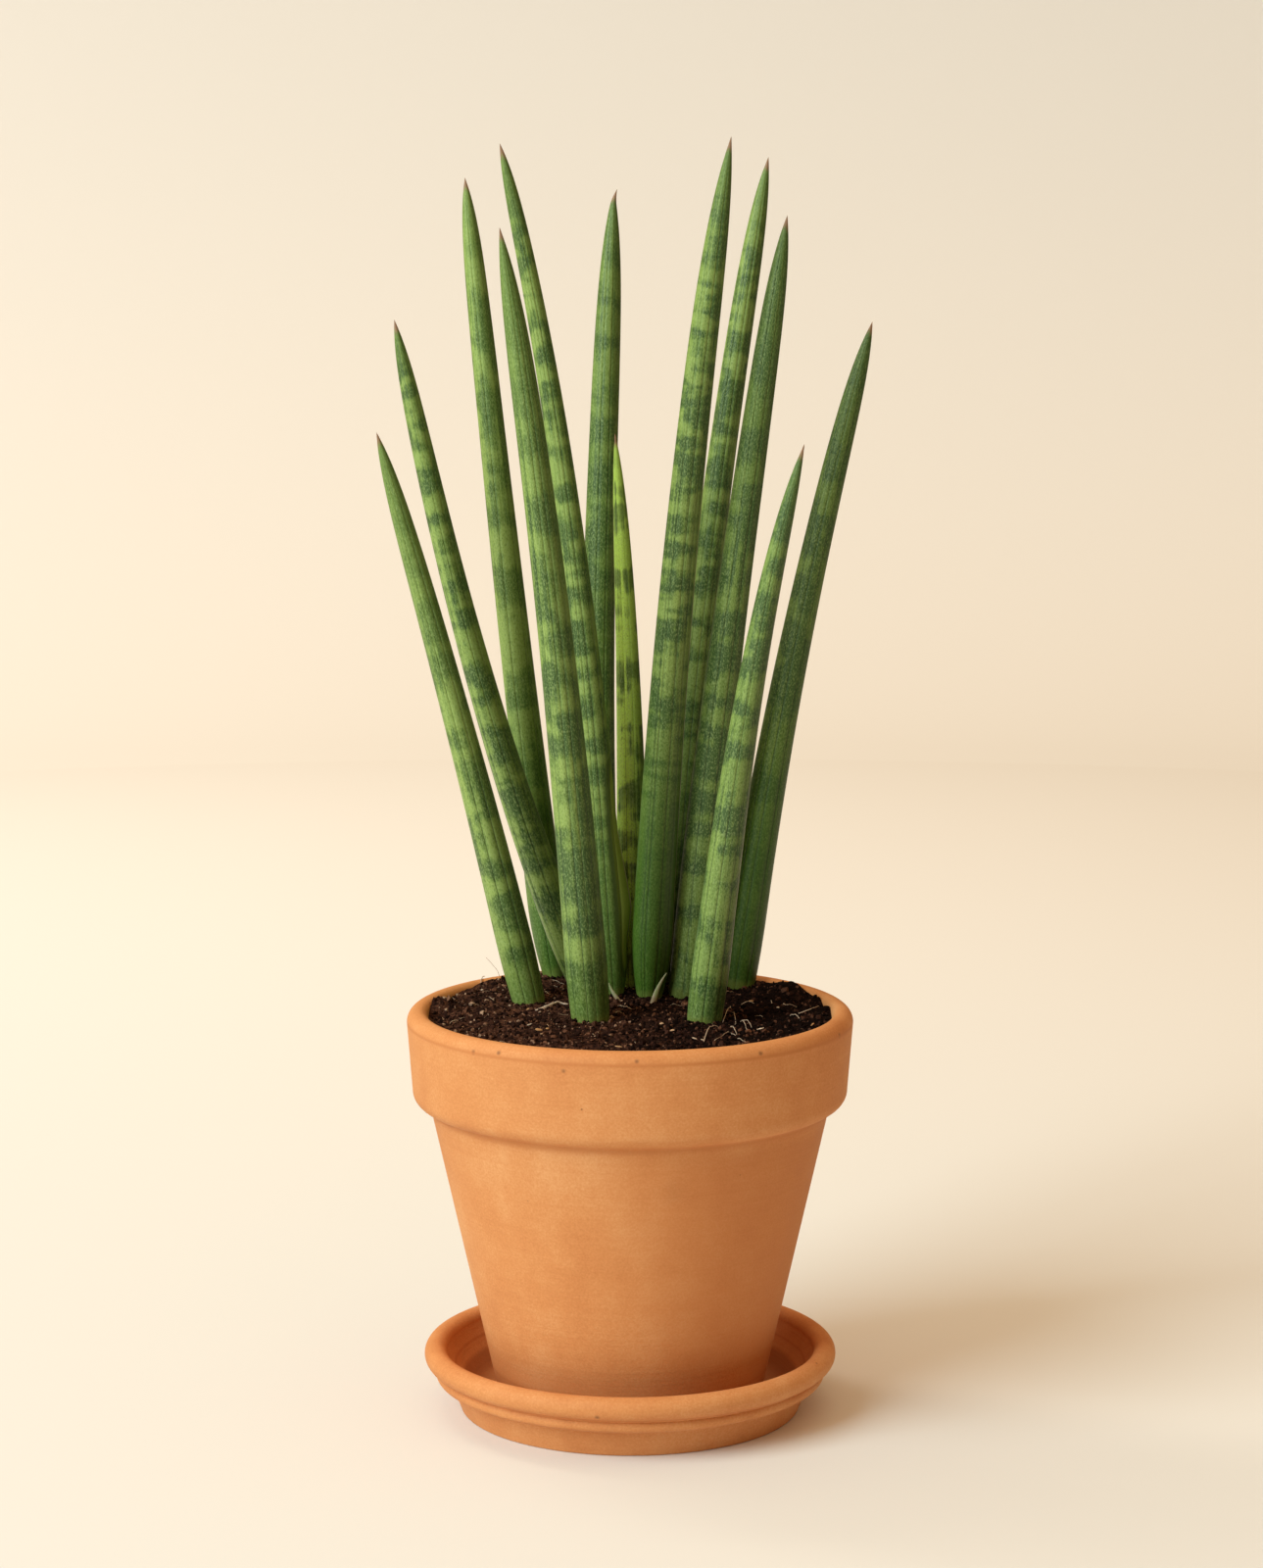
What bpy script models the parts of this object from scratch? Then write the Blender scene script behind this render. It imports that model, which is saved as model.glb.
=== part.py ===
"""Potted cylindrical snake plant in a terracotta pot on its saucer.

Metres, +Z up. The origin is the centre of the saucer's underside, on the pot's axis. The front is -Y.
Design sizes below are in millimetres and are turned into metres by MM.
"""

import math
from dataclasses import dataclass

import bmesh
import bpy
from mathutils import Matrix, Vector

MM = 0.001

# Driving dimensions of the turned clay pieces, in millimetres
TURN_STEPS = 64
GAP = 0.3
RIM_RADIUS = 85.0
POT_HEIGHT = 150.0
SAUCER_RADIUS = 79.3
SAUCER_HEIGHT = 25.5

# Saucer
SAUCER_FOOT_RADIUS = 65.5
SAUCER_FOOT_EDGE = 1.0
SAUCER_FLOOR = 5.6
SAUCER_FLOOR_RADIUS = 55.0
SAUCER_COVE = ((3.5, 0.8), (6.5, 3.4))
SAUCER_ROLL = 4.3
SAUCER_STEP_HEIGHT = 10.0
SAUCER_STEP_RADIUS = 69.0
SAUCER_RING_HEIGHT = 14.0
SAUCER_RING_RADIUS = 72.5
SAUCER_RING_ROUND = 2.6

# Pot, from its own foot up
POT_FOOT = SAUCER_FLOOR + GAP
POT_TOP = POT_FOOT + POT_HEIGHT
POT_FOOT_RADIUS = 51.4
POT_SHOULDER_RADIUS = 76.2
POT_FOOT_EDGE = 2.5
POT_WALL = 7.0
POT_FLOOR = 8.0
DRAIN_RADIUS = 6.0
COLLAR_BOTTOM = 119.5
COLLAR_CORNER = 5.5
COLLAR_RADIUS = 83.0
NECK = ((-0.5, -3.5), (0.3, -0.9))
LIP_ROUND = 4.66
INNER_LIP_ROUND = 3.4
INNER_RIM_RADIUS = RIM_RADIUS - LIP_ROUND - INNER_LIP_ROUND
INNER_SHOULDER_RADIUS = POT_SHOULDER_RADIUS - POT_WALL
INNER_SHOULDER_HEIGHT = COLLAR_BOTTOM - 4.0
INNER_FLOOR = POT_FOOT + POT_FLOOR
INNER_FLOOR_RADIUS = POT_FOOT_RADIUS - POT_WALL - 2.5
INNER_COVE_RADIUS = POT_FOOT_RADIUS - POT_WALL + 2.0
INNER_COVE_HEIGHT = INNER_FLOOR + 6.0

# Soil, whose surface climbs towards the back, where the clump grows. Each heap is (x, y, rise, spread).
SOIL_LEVEL = 152.0
SOIL_CLIMB = 0.045
SOIL_LUMP = 0.45
SOIL_HEAPS = (
    (-35.0, 59.0, 1.9, 10.0),
    (-77.0, 6.0, 1.8, 11.0),
    (13.0, 35.0, -2.1, 13.0),
    (67.0, 37.0, 1.6, 9.0),
    (0.0, -76.0, -1.2, 22.0),
)
SOIL_WALL_TOP = 142.0
SOIL_RINGS = (10.0, 20.0, 30.0, 40.0, 50.0, 59.0, 67.0, 72.5)

# Leaves
LEAF_SIDES = 14
LEAF_RINGS = 20
RING_CROWDING = 1.45
LEAF_DEPTH = 12.0
BURIED_TAPER = 0.45
WAIST_HEIGHT = 30.0
TIP_RADIUS = 0.35
HOLE_ABOVE = 16.0


@dataclass
class Leaf:
    """One round leaf: where it leaves the soil, its tip, its two bends and its thickness."""

    foot: tuple
    tip: tuple
    bow: float
    sway: float
    girth: float
    blunt: float
    point: float
    waist: float
    sheath: float = 0.0


# From left to right by their tips. foot is (x, y), tip is (x, y, z). bow and sway are the sideways bends,
# girth is the diameter at the foot, blunt and point shape the taper, waist is how far the foot narrows.
LEAVES = (
    Leaf((-39.2, 25.0), (-95.0, 6.0, 373.9), 1.6, 0.0, 14.9, 0.47, 15.7, 0.16),
    Leaf((-17.2, 50.0), (-89.9, 36.0, 415.4), -6.8, -0.7, 14.7, 0.47, 15.2, 0.15),
    Leaf((-29.8, 62.5), (-64.6, 80.0, 470.0), -0.9, -0.2, 15.3, 0.52, 15.5, 0.37),
    Leaf((-15.0, -3.0), (-47.5, -22.0, 449.4), 3.3, -0.3, 16.6, 0.55, 22.6, 0.13),
    Leaf((-6.8, 40.0), (-49.0, 26.0, 481.3), 7.2, -0.9, 15.2, 0.37, 12.3, 0.40, 2.8),
    Leaf((-10.6, 66.0), (-6.3, 84.0, 465.7), -3.7, -0.5, 15.2, 0.65, 21.9, 0.20),
    Leaf((1.2, 53.0), (-5.8, 50.0, 371.6), 2.0, -0.1, 14.6, 0.36, 19.2, 0.20),
    Leaf((7.6, 39.5), (38.0, 22.0, 483.7), -4.3, 0.2, 16.6, 0.59, 25.0, 0.40),
    Leaf((14.4, 60.0), (53.9, 74.0, 477.8), -4.0, 0.1, 15.2, 0.55, 18.0, 0.20),
    Leaf((23.1, 43.0), (59.7, 34.0, 454.7), -2.5, -0.2, 16.6, 0.54, 19.5, 0.02),
    Leaf((28.3, -3.0), (63.7, -30.0, 371.1), -4.2, 0.6, 15.4, 0.42, 19.2, 0.14),
    Leaf((42.2, 53.0), (94.7, 70.0, 414.3), -4.4, 0.0, 16.6, 0.49, 16.6, 0.15),
)

# The clasping edge low on one leaf: how high it stands widest, and how far it fades above and below
SHEATH_HEIGHT = 188.0
SHEATH_ABOVE = 30.0
SHEATH_BELOW = 14.0
SHEATH_SHARPNESS = 4


@dataclass
class Scale:
    """A dry, pointed remnant of a basal sheath: its foot (x, y), its lean to the tip, and its width."""

    name: str
    foot: tuple
    lean: tuple
    bow: float
    width: float


SCALES = (
    Scale("basal_scale_left", (-4.6, 31.0), (-3.7, 0.8, 6.6), -0.4, 2.0),
    Scale("basal_scale_right", (9.1, 29.5), (5.2, 1.5, 11.6), -0.8, 2.4),
)
SCALE_RINGS = 6
SCALE_SIDES = 8
SCALE_THICKNESS = 0.7
SCALE_TIP_WIDTH = 0.8
SCALE_DEPTH = 3.0


def inside_radius(z):
    """Radius of the pot's inside at a height between its shoulder and its lip."""
    rise = (z - INNER_SHOULDER_HEIGHT) / (POT_TOP - INNER_LIP_ROUND - INNER_SHOULDER_HEIGHT)
    return INNER_SHOULDER_RADIUS + (INNER_RIM_RADIUS - INNER_SHOULDER_RADIUS) * min(rise, 1.0)


def soil_height(x, y):
    """Height of the soil at (x, y), all in millimetres."""
    lumps = math.sin(x / 9.0 + 0.6) * math.cos(y / 7.5) + 0.6 * math.sin((x + y) / 5.2)
    height = SOIL_LEVEL + SOIL_CLIMB * y + SOIL_LUMP * lumps
    for heap_x, heap_y, rise, spread in SOIL_HEAPS:
        height += rise * math.exp(-((x - heap_x) ** 2 + (y - heap_y) ** 2) / (2 * spread**2))
    return height


def arc(centre, radius, start, end, count):
    """Points (r, z) on a circular arc, from start to end in degrees."""
    points = []
    for index in range(count + 1):
        angle = math.radians(start + (end - start) * index / count)
        points.append((centre[0] + radius * math.cos(angle), centre[1] + radius * math.sin(angle)))
    return points


def saucer_profile():
    """Half section of the saucer from the axis underneath, up the outside and back to the axis."""
    roll_centre = (SAUCER_RADIUS - SAUCER_ROLL, SAUCER_HEIGHT - SAUCER_ROLL)
    points = [(0.0, 0.0), (SAUCER_FOOT_RADIUS - SAUCER_FOOT_EDGE, 0.0)]
    points.append((SAUCER_FOOT_RADIUS, SAUCER_FOOT_EDGE))
    points.append((SAUCER_STEP_RADIUS, SAUCER_STEP_HEIGHT))
    points += arc((SAUCER_RING_RADIUS, SAUCER_RING_HEIGHT), SAUCER_RING_ROUND, -50.0, 40.0, 4)
    points += arc(roll_centre, SAUCER_ROLL, -70.0, 180.0, 10)
    points += [(SAUCER_FLOOR_RADIUS + out, SAUCER_FLOOR + up) for out, up in reversed(SAUCER_COVE)]
    points.append((SAUCER_FLOOR_RADIUS, SAUCER_FLOOR))
    points.append((0.0, SAUCER_FLOOR))
    return points


def pot_profile():
    """Closed half section of the pot, whose floor has the drain hole at the axis."""
    lip_centre = (RIM_RADIUS - LIP_ROUND, POT_TOP - LIP_ROUND)
    inner_lip_centre = (RIM_RADIUS - LIP_ROUND, POT_TOP - INNER_LIP_ROUND)
    corner_centre = (COLLAR_RADIUS - COLLAR_CORNER, COLLAR_BOTTOM + COLLAR_CORNER)
    points = [(DRAIN_RADIUS, POT_FOOT), (POT_FOOT_RADIUS - POT_FOOT_EDGE, POT_FOOT)]
    points.append((POT_FOOT_RADIUS, POT_FOOT + POT_FOOT_EDGE))
    points += [(POT_SHOULDER_RADIUS + out, COLLAR_BOTTOM + up) for out, up in NECK]
    points += arc(corner_centre, COLLAR_CORNER, -85.0, 0.0, 4)
    points += arc(lip_centre, LIP_ROUND, 0.0, 90.0, 4)
    points += arc(inner_lip_centre, INNER_LIP_ROUND, 90.0, 180.0, 4)[1:]
    points.append((INNER_SHOULDER_RADIUS, INNER_SHOULDER_HEIGHT))
    points.append((INNER_COVE_RADIUS, INNER_COVE_HEIGHT))
    points.append((INNER_FLOOR_RADIUS, INNER_FLOOR))
    points.append((DRAIN_RADIUS, INNER_FLOOR))
    return points


def soil_wall_profile():
    """The soil's underside and side, following the pot's inside one gap away."""
    return [
        (0.0, INNER_FLOOR + GAP),
        (INNER_FLOOR_RADIUS - GAP, INNER_FLOOR + GAP),
        (INNER_COVE_RADIUS - GAP, INNER_COVE_HEIGHT),
        (INNER_SHOULDER_RADIUS - GAP, INNER_SHOULDER_HEIGHT),
        (inside_radius(SOIL_WALL_TOP) - GAP, SOIL_WALL_TOP),
    ]


def material(name, color, roughness):
    """A plain Principled material."""
    made = bpy.data.materials.new(name)
    made.use_nodes = True
    shader = made.node_tree.nodes["Principled BSDF"]
    shader.inputs["Base Color"].default_value = (*color, 1.0)
    shader.inputs["Roughness"].default_value = roughness
    shader.inputs["Metallic"].default_value = 0.0
    return made


def finish(mesh_data, name, surface, sharp=45.0):
    """Turn bmesh data into a named, smooth shaded object with its outside facing out."""
    bmesh.ops.recalc_face_normals(mesh_data, faces=mesh_data.faces)
    mesh = bpy.data.meshes.new(name)
    mesh_data.to_mesh(mesh)
    mesh_data.free()
    mesh.shade_smooth()
    mesh.set_sharp_from_angle(angle=math.radians(sharp))
    mesh.materials.append(surface)
    made = bpy.data.objects.new(name, mesh)
    bpy.context.scene.collection.objects.link(made)
    return made


def turned(profile, closed):
    """Spin a half section of (r, z) points about the Z axis."""
    mesh_data = bmesh.new()
    verts = [mesh_data.verts.new((r * MM, 0.0, z * MM)) for r, z in profile]
    edges = [mesh_data.edges.new(pair) for pair in zip(verts, verts[1:])]
    if closed:
        edges.append(mesh_data.edges.new((verts[-1], verts[0])))
    bmesh.ops.spin(
        mesh_data,
        geom=verts + edges,
        cent=(0.0, 0.0, 0.0),
        axis=(0.0, 0.0, 1.0),
        angle=math.tau,
        steps=TURN_STEPS,
        use_merge=True,
    )
    bmesh.ops.remove_doubles(mesh_data, verts=mesh_data.verts, dist=1e-6)
    return mesh_data


def leaf_point(leaf, t):
    """Centre of the leaf at t, 0 at the soil and 1 at the tip, in millimetres."""
    foot = Vector((*leaf.foot, soil_height(*leaf.foot)))
    point = foot.lerp(Vector(leaf.tip), t)
    if t > 0.0:
        point.x += leaf.bow * 4.0 * t * (1.0 - t)
        point.x += leaf.sway * 10.0 * t * (1.0 - t) * (1.0 - 2.0 * t)
    else:
        point.x += (4.0 * leaf.bow + 10.0 * leaf.sway) * t
    return point


def leaf_direction(leaf, t):
    """Unit vector along the leaf at t."""
    step = 0.01
    return (leaf_point(leaf, min(t + step, 1.0)) - leaf_point(leaf, t - step)).normalized()


def leaf_length(leaf):
    """Straight length from the soil to the tip, in millimetres."""
    return (leaf_point(leaf, 1.0) - leaf_point(leaf, 0.0)).length


def leaf_radius(leaf, t):
    """Radius at t: a quick rise from the point, a slow one down to the foot, and the narrowed foot."""
    length = leaf_length(leaf)
    if t < 0.0:
        return leaf_radius(leaf, 0.0) * (1.0 + BURIED_TAPER * t * length / LEAF_DEPTH)
    from_tip = length * (1.0 - t)
    swell = leaf.blunt * (1.0 - math.exp(-from_tip / leaf.point)) + (1.0 - leaf.blunt) * from_tip / length
    near_foot = max(0.0, 1.0 - t * length / WAIST_HEIGHT)
    radius = 0.5 * leaf.girth * swell * (1.0 - leaf.waist * near_foot**2)
    return max(radius, TIP_RADIUS)


def sheath_reach(leaf, height):
    """How far the clasping edge stands out at a height, in millimetres."""
    above = height - SHEATH_HEIGHT
    span = SHEATH_ABOVE if above > 0.0 else SHEATH_BELOW
    fade = max(0.0, 1.0 - abs(above) / span)
    return leaf.sheath * fade


def leaf_stations(leaf):
    """Values of t for the leaf's rings, closer together towards the tip."""
    start = -LEAF_DEPTH / leaf_length(leaf)
    stations = [start]
    for index in range(LEAF_RINGS):
        along = index / (LEAF_RINGS - 1)
        stations.append(1.0 - (1.0 - along) ** RING_CROWDING)
    if leaf.sheath:
        low = soil_height(*leaf.foot)
        for height in (SHEATH_HEIGHT - SHEATH_BELOW, SHEATH_HEIGHT, SHEATH_HEIGHT + SHEATH_ABOVE):
            stations.append((height - low) / (leaf.tip[2] - low))
    return sorted(stations)


def leaf_body(leaf, stations, grow=0.0, lower=0.0):
    """Loft rings along the leaf. grow widens it and lower drops its end, for the hole it stands in."""
    mesh_data = bmesh.new()
    rings = []
    for index, t in enumerate(stations):
        centre = leaf_point(leaf, t)
        direction = leaf_direction(leaf, t)
        if index == 0:
            centre -= direction * lower
        turn = Vector((0.0, 0.0, 1.0)).rotation_difference(direction).to_matrix().to_4x4()
        made = bmesh.ops.create_circle(
            mesh_data,
            segments=LEAF_SIDES,
            radius=(leaf_radius(leaf, t) + grow) * MM,
            matrix=Matrix.Translation(centre * MM) @ turn,
        )
        ring = made["verts"]
        reach = sheath_reach(leaf, centre.z)
        for vert in ring:
            outward = (vert.co / MM - centre).normalized()
            vert.co.x += reach * max(0.0, outward.x) ** SHEATH_SHARPNESS * MM
        rings.append(list({edge for vert in ring for edge in vert.link_edges}))
    for below, above in zip(rings, rings[1:]):
        bmesh.ops.bridge_loops(mesh_data, edges=below + above)
    bmesh.ops.contextual_create(mesh_data, geom=rings[0])
    bmesh.ops.contextual_create(mesh_data, geom=rings[-1])
    return mesh_data


def scale_body(scale, grow=0.0, lower=0.0):
    """Loft a thin, pointed strip up from its foot in the soil."""
    mesh_data = bmesh.new()
    foot = Vector((*scale.foot, soil_height(*scale.foot)))
    lean = Vector(scale.lean)
    rings = []
    for index in range(SCALE_RINGS):
        t = index / (SCALE_RINGS - 1)
        centre = foot + lean * t
        centre.x += scale.bow * 4.0 * t * (1.0 - t)
        if index == 0:
            centre -= lean.normalized() * (SCALE_DEPTH + lower)
        width = scale.width + (SCALE_TIP_WIDTH - scale.width) * t
        size = Matrix.Diagonal((width + 2 * grow, SCALE_THICKNESS + 2 * grow, 1.0, 1.0))
        made = bmesh.ops.create_circle(
            mesh_data,
            segments=SCALE_SIDES,
            radius=0.5 * MM,
            matrix=Matrix.Translation(centre * MM) @ size,
        )
        rings.append(list({edge for vert in made["verts"] for edge in vert.link_edges}))
    for below, above in zip(rings, rings[1:]):
        bmesh.ops.bridge_loops(mesh_data, edges=below + above)
    bmesh.ops.contextual_create(mesh_data, geom=rings[0])
    bmesh.ops.contextual_create(mesh_data, geom=rings[-1])
    return mesh_data


def cut_from(target, mesh_data, name, surface):
    """Take a hidden cutter out of the target with a Boolean modifier."""
    cutter = finish(mesh_data, name, surface)
    cutter.hide_render = True
    cutter.display_type = "WIRE"
    cut = target.modifiers.new(name, "BOOLEAN")
    cut.operation = "DIFFERENCE"
    cut.solver = "EXACT"
    cut.object = cutter


def make_saucer(surface):
    """The turned saucer under the pot."""
    return finish(turned(saucer_profile(), closed=False), "saucer", surface, sharp=35.0)


def make_pot(surface):
    """The turned pot with its wide collar and drain hole."""
    return finish(turned(pot_profile(), closed=True), "pot", surface, sharp=35.0)


def make_soil(surface):
    """The soil that fills the pot, with its uneven top."""
    profile = soil_wall_profile()
    edge_radius = INNER_RIM_RADIUS - GAP
    profile.append((edge_radius, SOIL_LEVEL))
    profile += [(radius, SOIL_LEVEL) for radius in reversed(SOIL_RINGS)]
    profile.append((0.0, SOIL_LEVEL))
    mesh_data = turned(profile, closed=False)
    for vert in mesh_data.verts:
        radius = vert.co.xy.length / MM
        if vert.co.z < (SOIL_LEVEL - 0.01) * MM:
            continue
        height = soil_height(vert.co.x / MM, vert.co.y / MM)
        vert.co.z = height * MM
        if radius > edge_radius - 0.01:
            vert.co.xy *= (inside_radius(height) - GAP) / radius
    return finish(mesh_data, "soil", surface)


def make_leaves(soil, surface, soil_surface):
    """Every leaf, each with its own hole in the soil."""
    for number, leaf in enumerate(LEAVES, start=1):
        stations = leaf_stations(leaf)
        name = f"leaf_{number:02d}"
        finish(leaf_body(leaf, stations), name, surface, sharp=60.0)
        low = [t for t in stations if t * leaf_length(leaf) < HOLE_ABOVE]
        low.append(stations[len(low)])
        cut_from(soil, leaf_body(leaf, low, GAP, GAP), f"{name}_hole", soil_surface)


def make_scales(soil, surface, soil_surface):
    """The dry basal scales, each in its own slot in the soil."""
    for scale in SCALES:
        finish(scale_body(scale), scale.name, surface, sharp=60.0)
        cut_from(soil, scale_body(scale, GAP, GAP), f"{scale.name}_slot", soil_surface)


def main():
    for old in list(bpy.data.objects):
        bpy.data.objects.remove(old, do_unlink=True)
    terracotta = material("terracotta", (0.62, 0.25, 0.10), 0.85)
    earth = material("soil", (0.035, 0.02, 0.014), 0.95)
    leaf_green = material("leaf", (0.12, 0.22, 0.06), 0.45)
    dry_scale = material("dry_scale", (0.45, 0.46, 0.30), 0.7)
    make_saucer(terracotta)
    make_pot(terracotta)
    soil = make_soil(earth)
    make_leaves(soil, leaf_green, earth)
    make_scales(soil, dry_scale, earth)


main()
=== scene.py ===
"""Looks of a potted cylindrical snake plant: turned clay, soil with its litter, and banded round leaves.

Laid out as an add-on and run as a script in Blender 4.5. Metres, +Z up, the front is -Y. The design
tables are in millimetres, and MM turns them into metres.
"""

import math
import random
from dataclasses import dataclass
from functools import lru_cache

import bmesh
import bpy
from bpy.props import FloatProperty, FloatVectorProperty, IntProperty, PointerProperty
from bpy.types import Operator, Panel, PropertyGroup
from mathutils import Euler, Matrix, Vector, noise


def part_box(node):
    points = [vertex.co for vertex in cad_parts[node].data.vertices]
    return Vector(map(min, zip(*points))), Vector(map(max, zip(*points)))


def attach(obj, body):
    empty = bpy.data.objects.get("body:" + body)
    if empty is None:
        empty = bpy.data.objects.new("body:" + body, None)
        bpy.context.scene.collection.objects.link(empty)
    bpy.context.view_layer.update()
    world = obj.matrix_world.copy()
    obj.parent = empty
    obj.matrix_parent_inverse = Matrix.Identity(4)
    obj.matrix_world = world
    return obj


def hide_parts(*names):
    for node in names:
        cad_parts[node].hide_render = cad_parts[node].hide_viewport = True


bl_info = {
    "name": "Potted Snake Plant",
    "version": (1, 0, 0),
    "blender": (4, 5, 0),
    "location": "3D View > Sidebar > Snake Plant",
    "description": "Builds a clay pot on its saucer, with soil, litter and banded round snake plant leaves",
    "category": "Add Mesh",
}

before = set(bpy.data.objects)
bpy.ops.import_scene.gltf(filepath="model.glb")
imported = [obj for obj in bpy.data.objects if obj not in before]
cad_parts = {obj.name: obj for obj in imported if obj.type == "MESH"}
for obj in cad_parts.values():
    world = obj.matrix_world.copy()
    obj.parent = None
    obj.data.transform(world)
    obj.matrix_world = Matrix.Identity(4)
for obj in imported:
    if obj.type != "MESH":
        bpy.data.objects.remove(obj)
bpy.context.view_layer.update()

MM = 0.001
POT_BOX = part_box("pot")
SAUCER_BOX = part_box("saucer")

# Pot, from its own foot up
POT_FOOT = POT_BOX[0].z / MM
POT_TOP = POT_BOX[1].z / MM
POT_FOOT_RADIUS = 51.4
POT_FOOT_EDGE = 2.5
POT_FLOOR = 8.0
DRAIN_RADIUS = 6.0
COLLAR_BOTTOM = 119.5
COLLAR_CORNER = 5.5
COLLAR_INSET = 2.0
SHOULDER_INSET = 8.8
NECK = ((-0.5, -3.5), (-0.15, -2.0), (0.3, -0.9))
LIP_ROUND = 4.66
INNER_LIP_ROUND = 3.4
INNER_SHOULDER_HEIGHT = COLLAR_BOTTOM - 4.0
INNER_FLOOR = POT_FOOT + POT_FLOOR

# Saucer
SAUCER_HEIGHT = SAUCER_BOX[1].z / MM
SAUCER_FOOT_INSET = 13.8
SAUCER_FOOT_EDGE = 1.0
SAUCER_FLOOR = 5.6
SAUCER_FLOOR_RADIUS = 55.0
SAUCER_COVE = ((2.0, 0.25), (3.7, 0.8), (5.2, 1.8), (6.5, 3.4))
SAUCER_ROLL = 4.3
SAUCER_STEP = (-10.3, 10.0)
SAUCER_RING = (-6.8, 14.0)
SAUCER_RING_ROUND = 2.6

# How far turned clay draws in at most, and its waves: share, number round, and height over which each turns
WOBBLE = 0.12
SWAYS = ((0.3, 2.0, 40.0), (0.2, 3.0, -23.0))

# Soil. Each heap or hollow is (x, y, rise, spread).
SOIL_LEVEL = 152.0
SOIL_CLIMB = 0.045
SOIL_LUMP = 0.45
SOIL_HEAPS = (
    (-35.0, 59.0, 1.9, 10.0),
    (-77.0, 6.0, 1.8, 11.0),
    (13.0, 35.0, -2.1, 13.0),
    (67.0, 37.0, 1.6, 9.0),
    (0.0, -76.0, -1.2, 22.0),
)
SOIL_LUMPS = (
    (-74.0, 14.0, 2.6, 3.5),
    (-57.0, 51.0, 1.6, 5.0),
    (-72.0, 1.0, -2.6, 3.2),
    (-63.0, 9.0, -1.8, 2.4),
    (-43.0, 4.0, -1.4, 3.0),
    (-24.0, -52.0, -2.4, 2.6),
    (-14.0, -50.0, -1.8, 2.8),
    (12.0, -8.0, -1.2, 4.0),
    (48.0, 0.0, -3.0, 6.0),
    (55.0, 27.0, -2.0, 5.0),
    (63.0, 43.0, 1.4, 4.5),
    (73.0, 23.0, 2.2, 2.6),
    (75.0, 8.0, 2.6, 2.4),
)
SOIL_WALL_TOP = 142.0
SOIL_GAP = 0.3
SOIL_RING_STEP = 0.9
SOIL_STEPS = 300
SOIL_ROUGH = ((6.5, 0.55), (2.6, 0.45), (1.3, 0.3))
# Painted shade on the soil's right: how much darker, and its spread along X.
SOIL_PAINTED_SHADE = 0.3
SOIL_SHADE_SIDE = (-35.0, 60.0)
FOOT_CRUMBS = 30
CRUMB_BATCH = 60

# Leaves
GROOVE_HALF_WIDTH = 2.8
PLAIN_SIDE = 8.0
LEAF_DEPTH = 12.0
BURIED_TAPER = 0.45
WAIST_HEIGHT = 30.0
TIP_RADIUS = 0.35
RING_CROWDING = 1.3
SHEATH_HEIGHT = 188.0
SHEATH_ABOVE = 30.0
SHEATH_BELOW = 14.0
SHEATH_SHARPNESS = 5
CURL_LENGTH = 7.0
RIPPLE = 0.12
FRONT = -math.pi / 2

# How a leaf's grooves wander: waves, each its degrees, the height over which it turns, and its start
TWISTS = ((2.5, 70.0, 1.0), (1.2, 23.0, 2.0))

# How far apart the leaves' patterns lie
SKIN_SHIFT = 700.0


@dataclass(frozen=True)
class Leaf:
    """One round leaf: its course and thickness as in the solid, then what its skin shows.

    grooves and margin are angles in degrees round it, 0 at the front and 90 at the right. calm_foot and
    calm_tip are the lengths at its ends without bands, and shade makes it lighter or darker: partly its own
    tone, partly painted shade on the leaves at the right and behind, and painted light on the young leaf. The
    young leaf's colour is its paler skin with painted light laid in. sheath and curl are how far the clasping
    edge and the dry point stand out. low is how deep and plain its green is at the foot, and up to what
    height, partly a plainer skin and partly painted shade where the leaves shade each other.
    """

    foot: tuple
    tip: tuple
    bow: float
    sway: float
    girth: float
    blunt: float
    point: float
    waist: float
    grooves: tuple
    bands: float
    band_length: float
    shade: float
    calm_foot: float
    calm_tip: float
    margin: float = None
    sheath: float = 0.0
    curl: float = 0.0
    young_painted_light: float = 0.0
    low: tuple = (0.0, 1.0)


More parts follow.
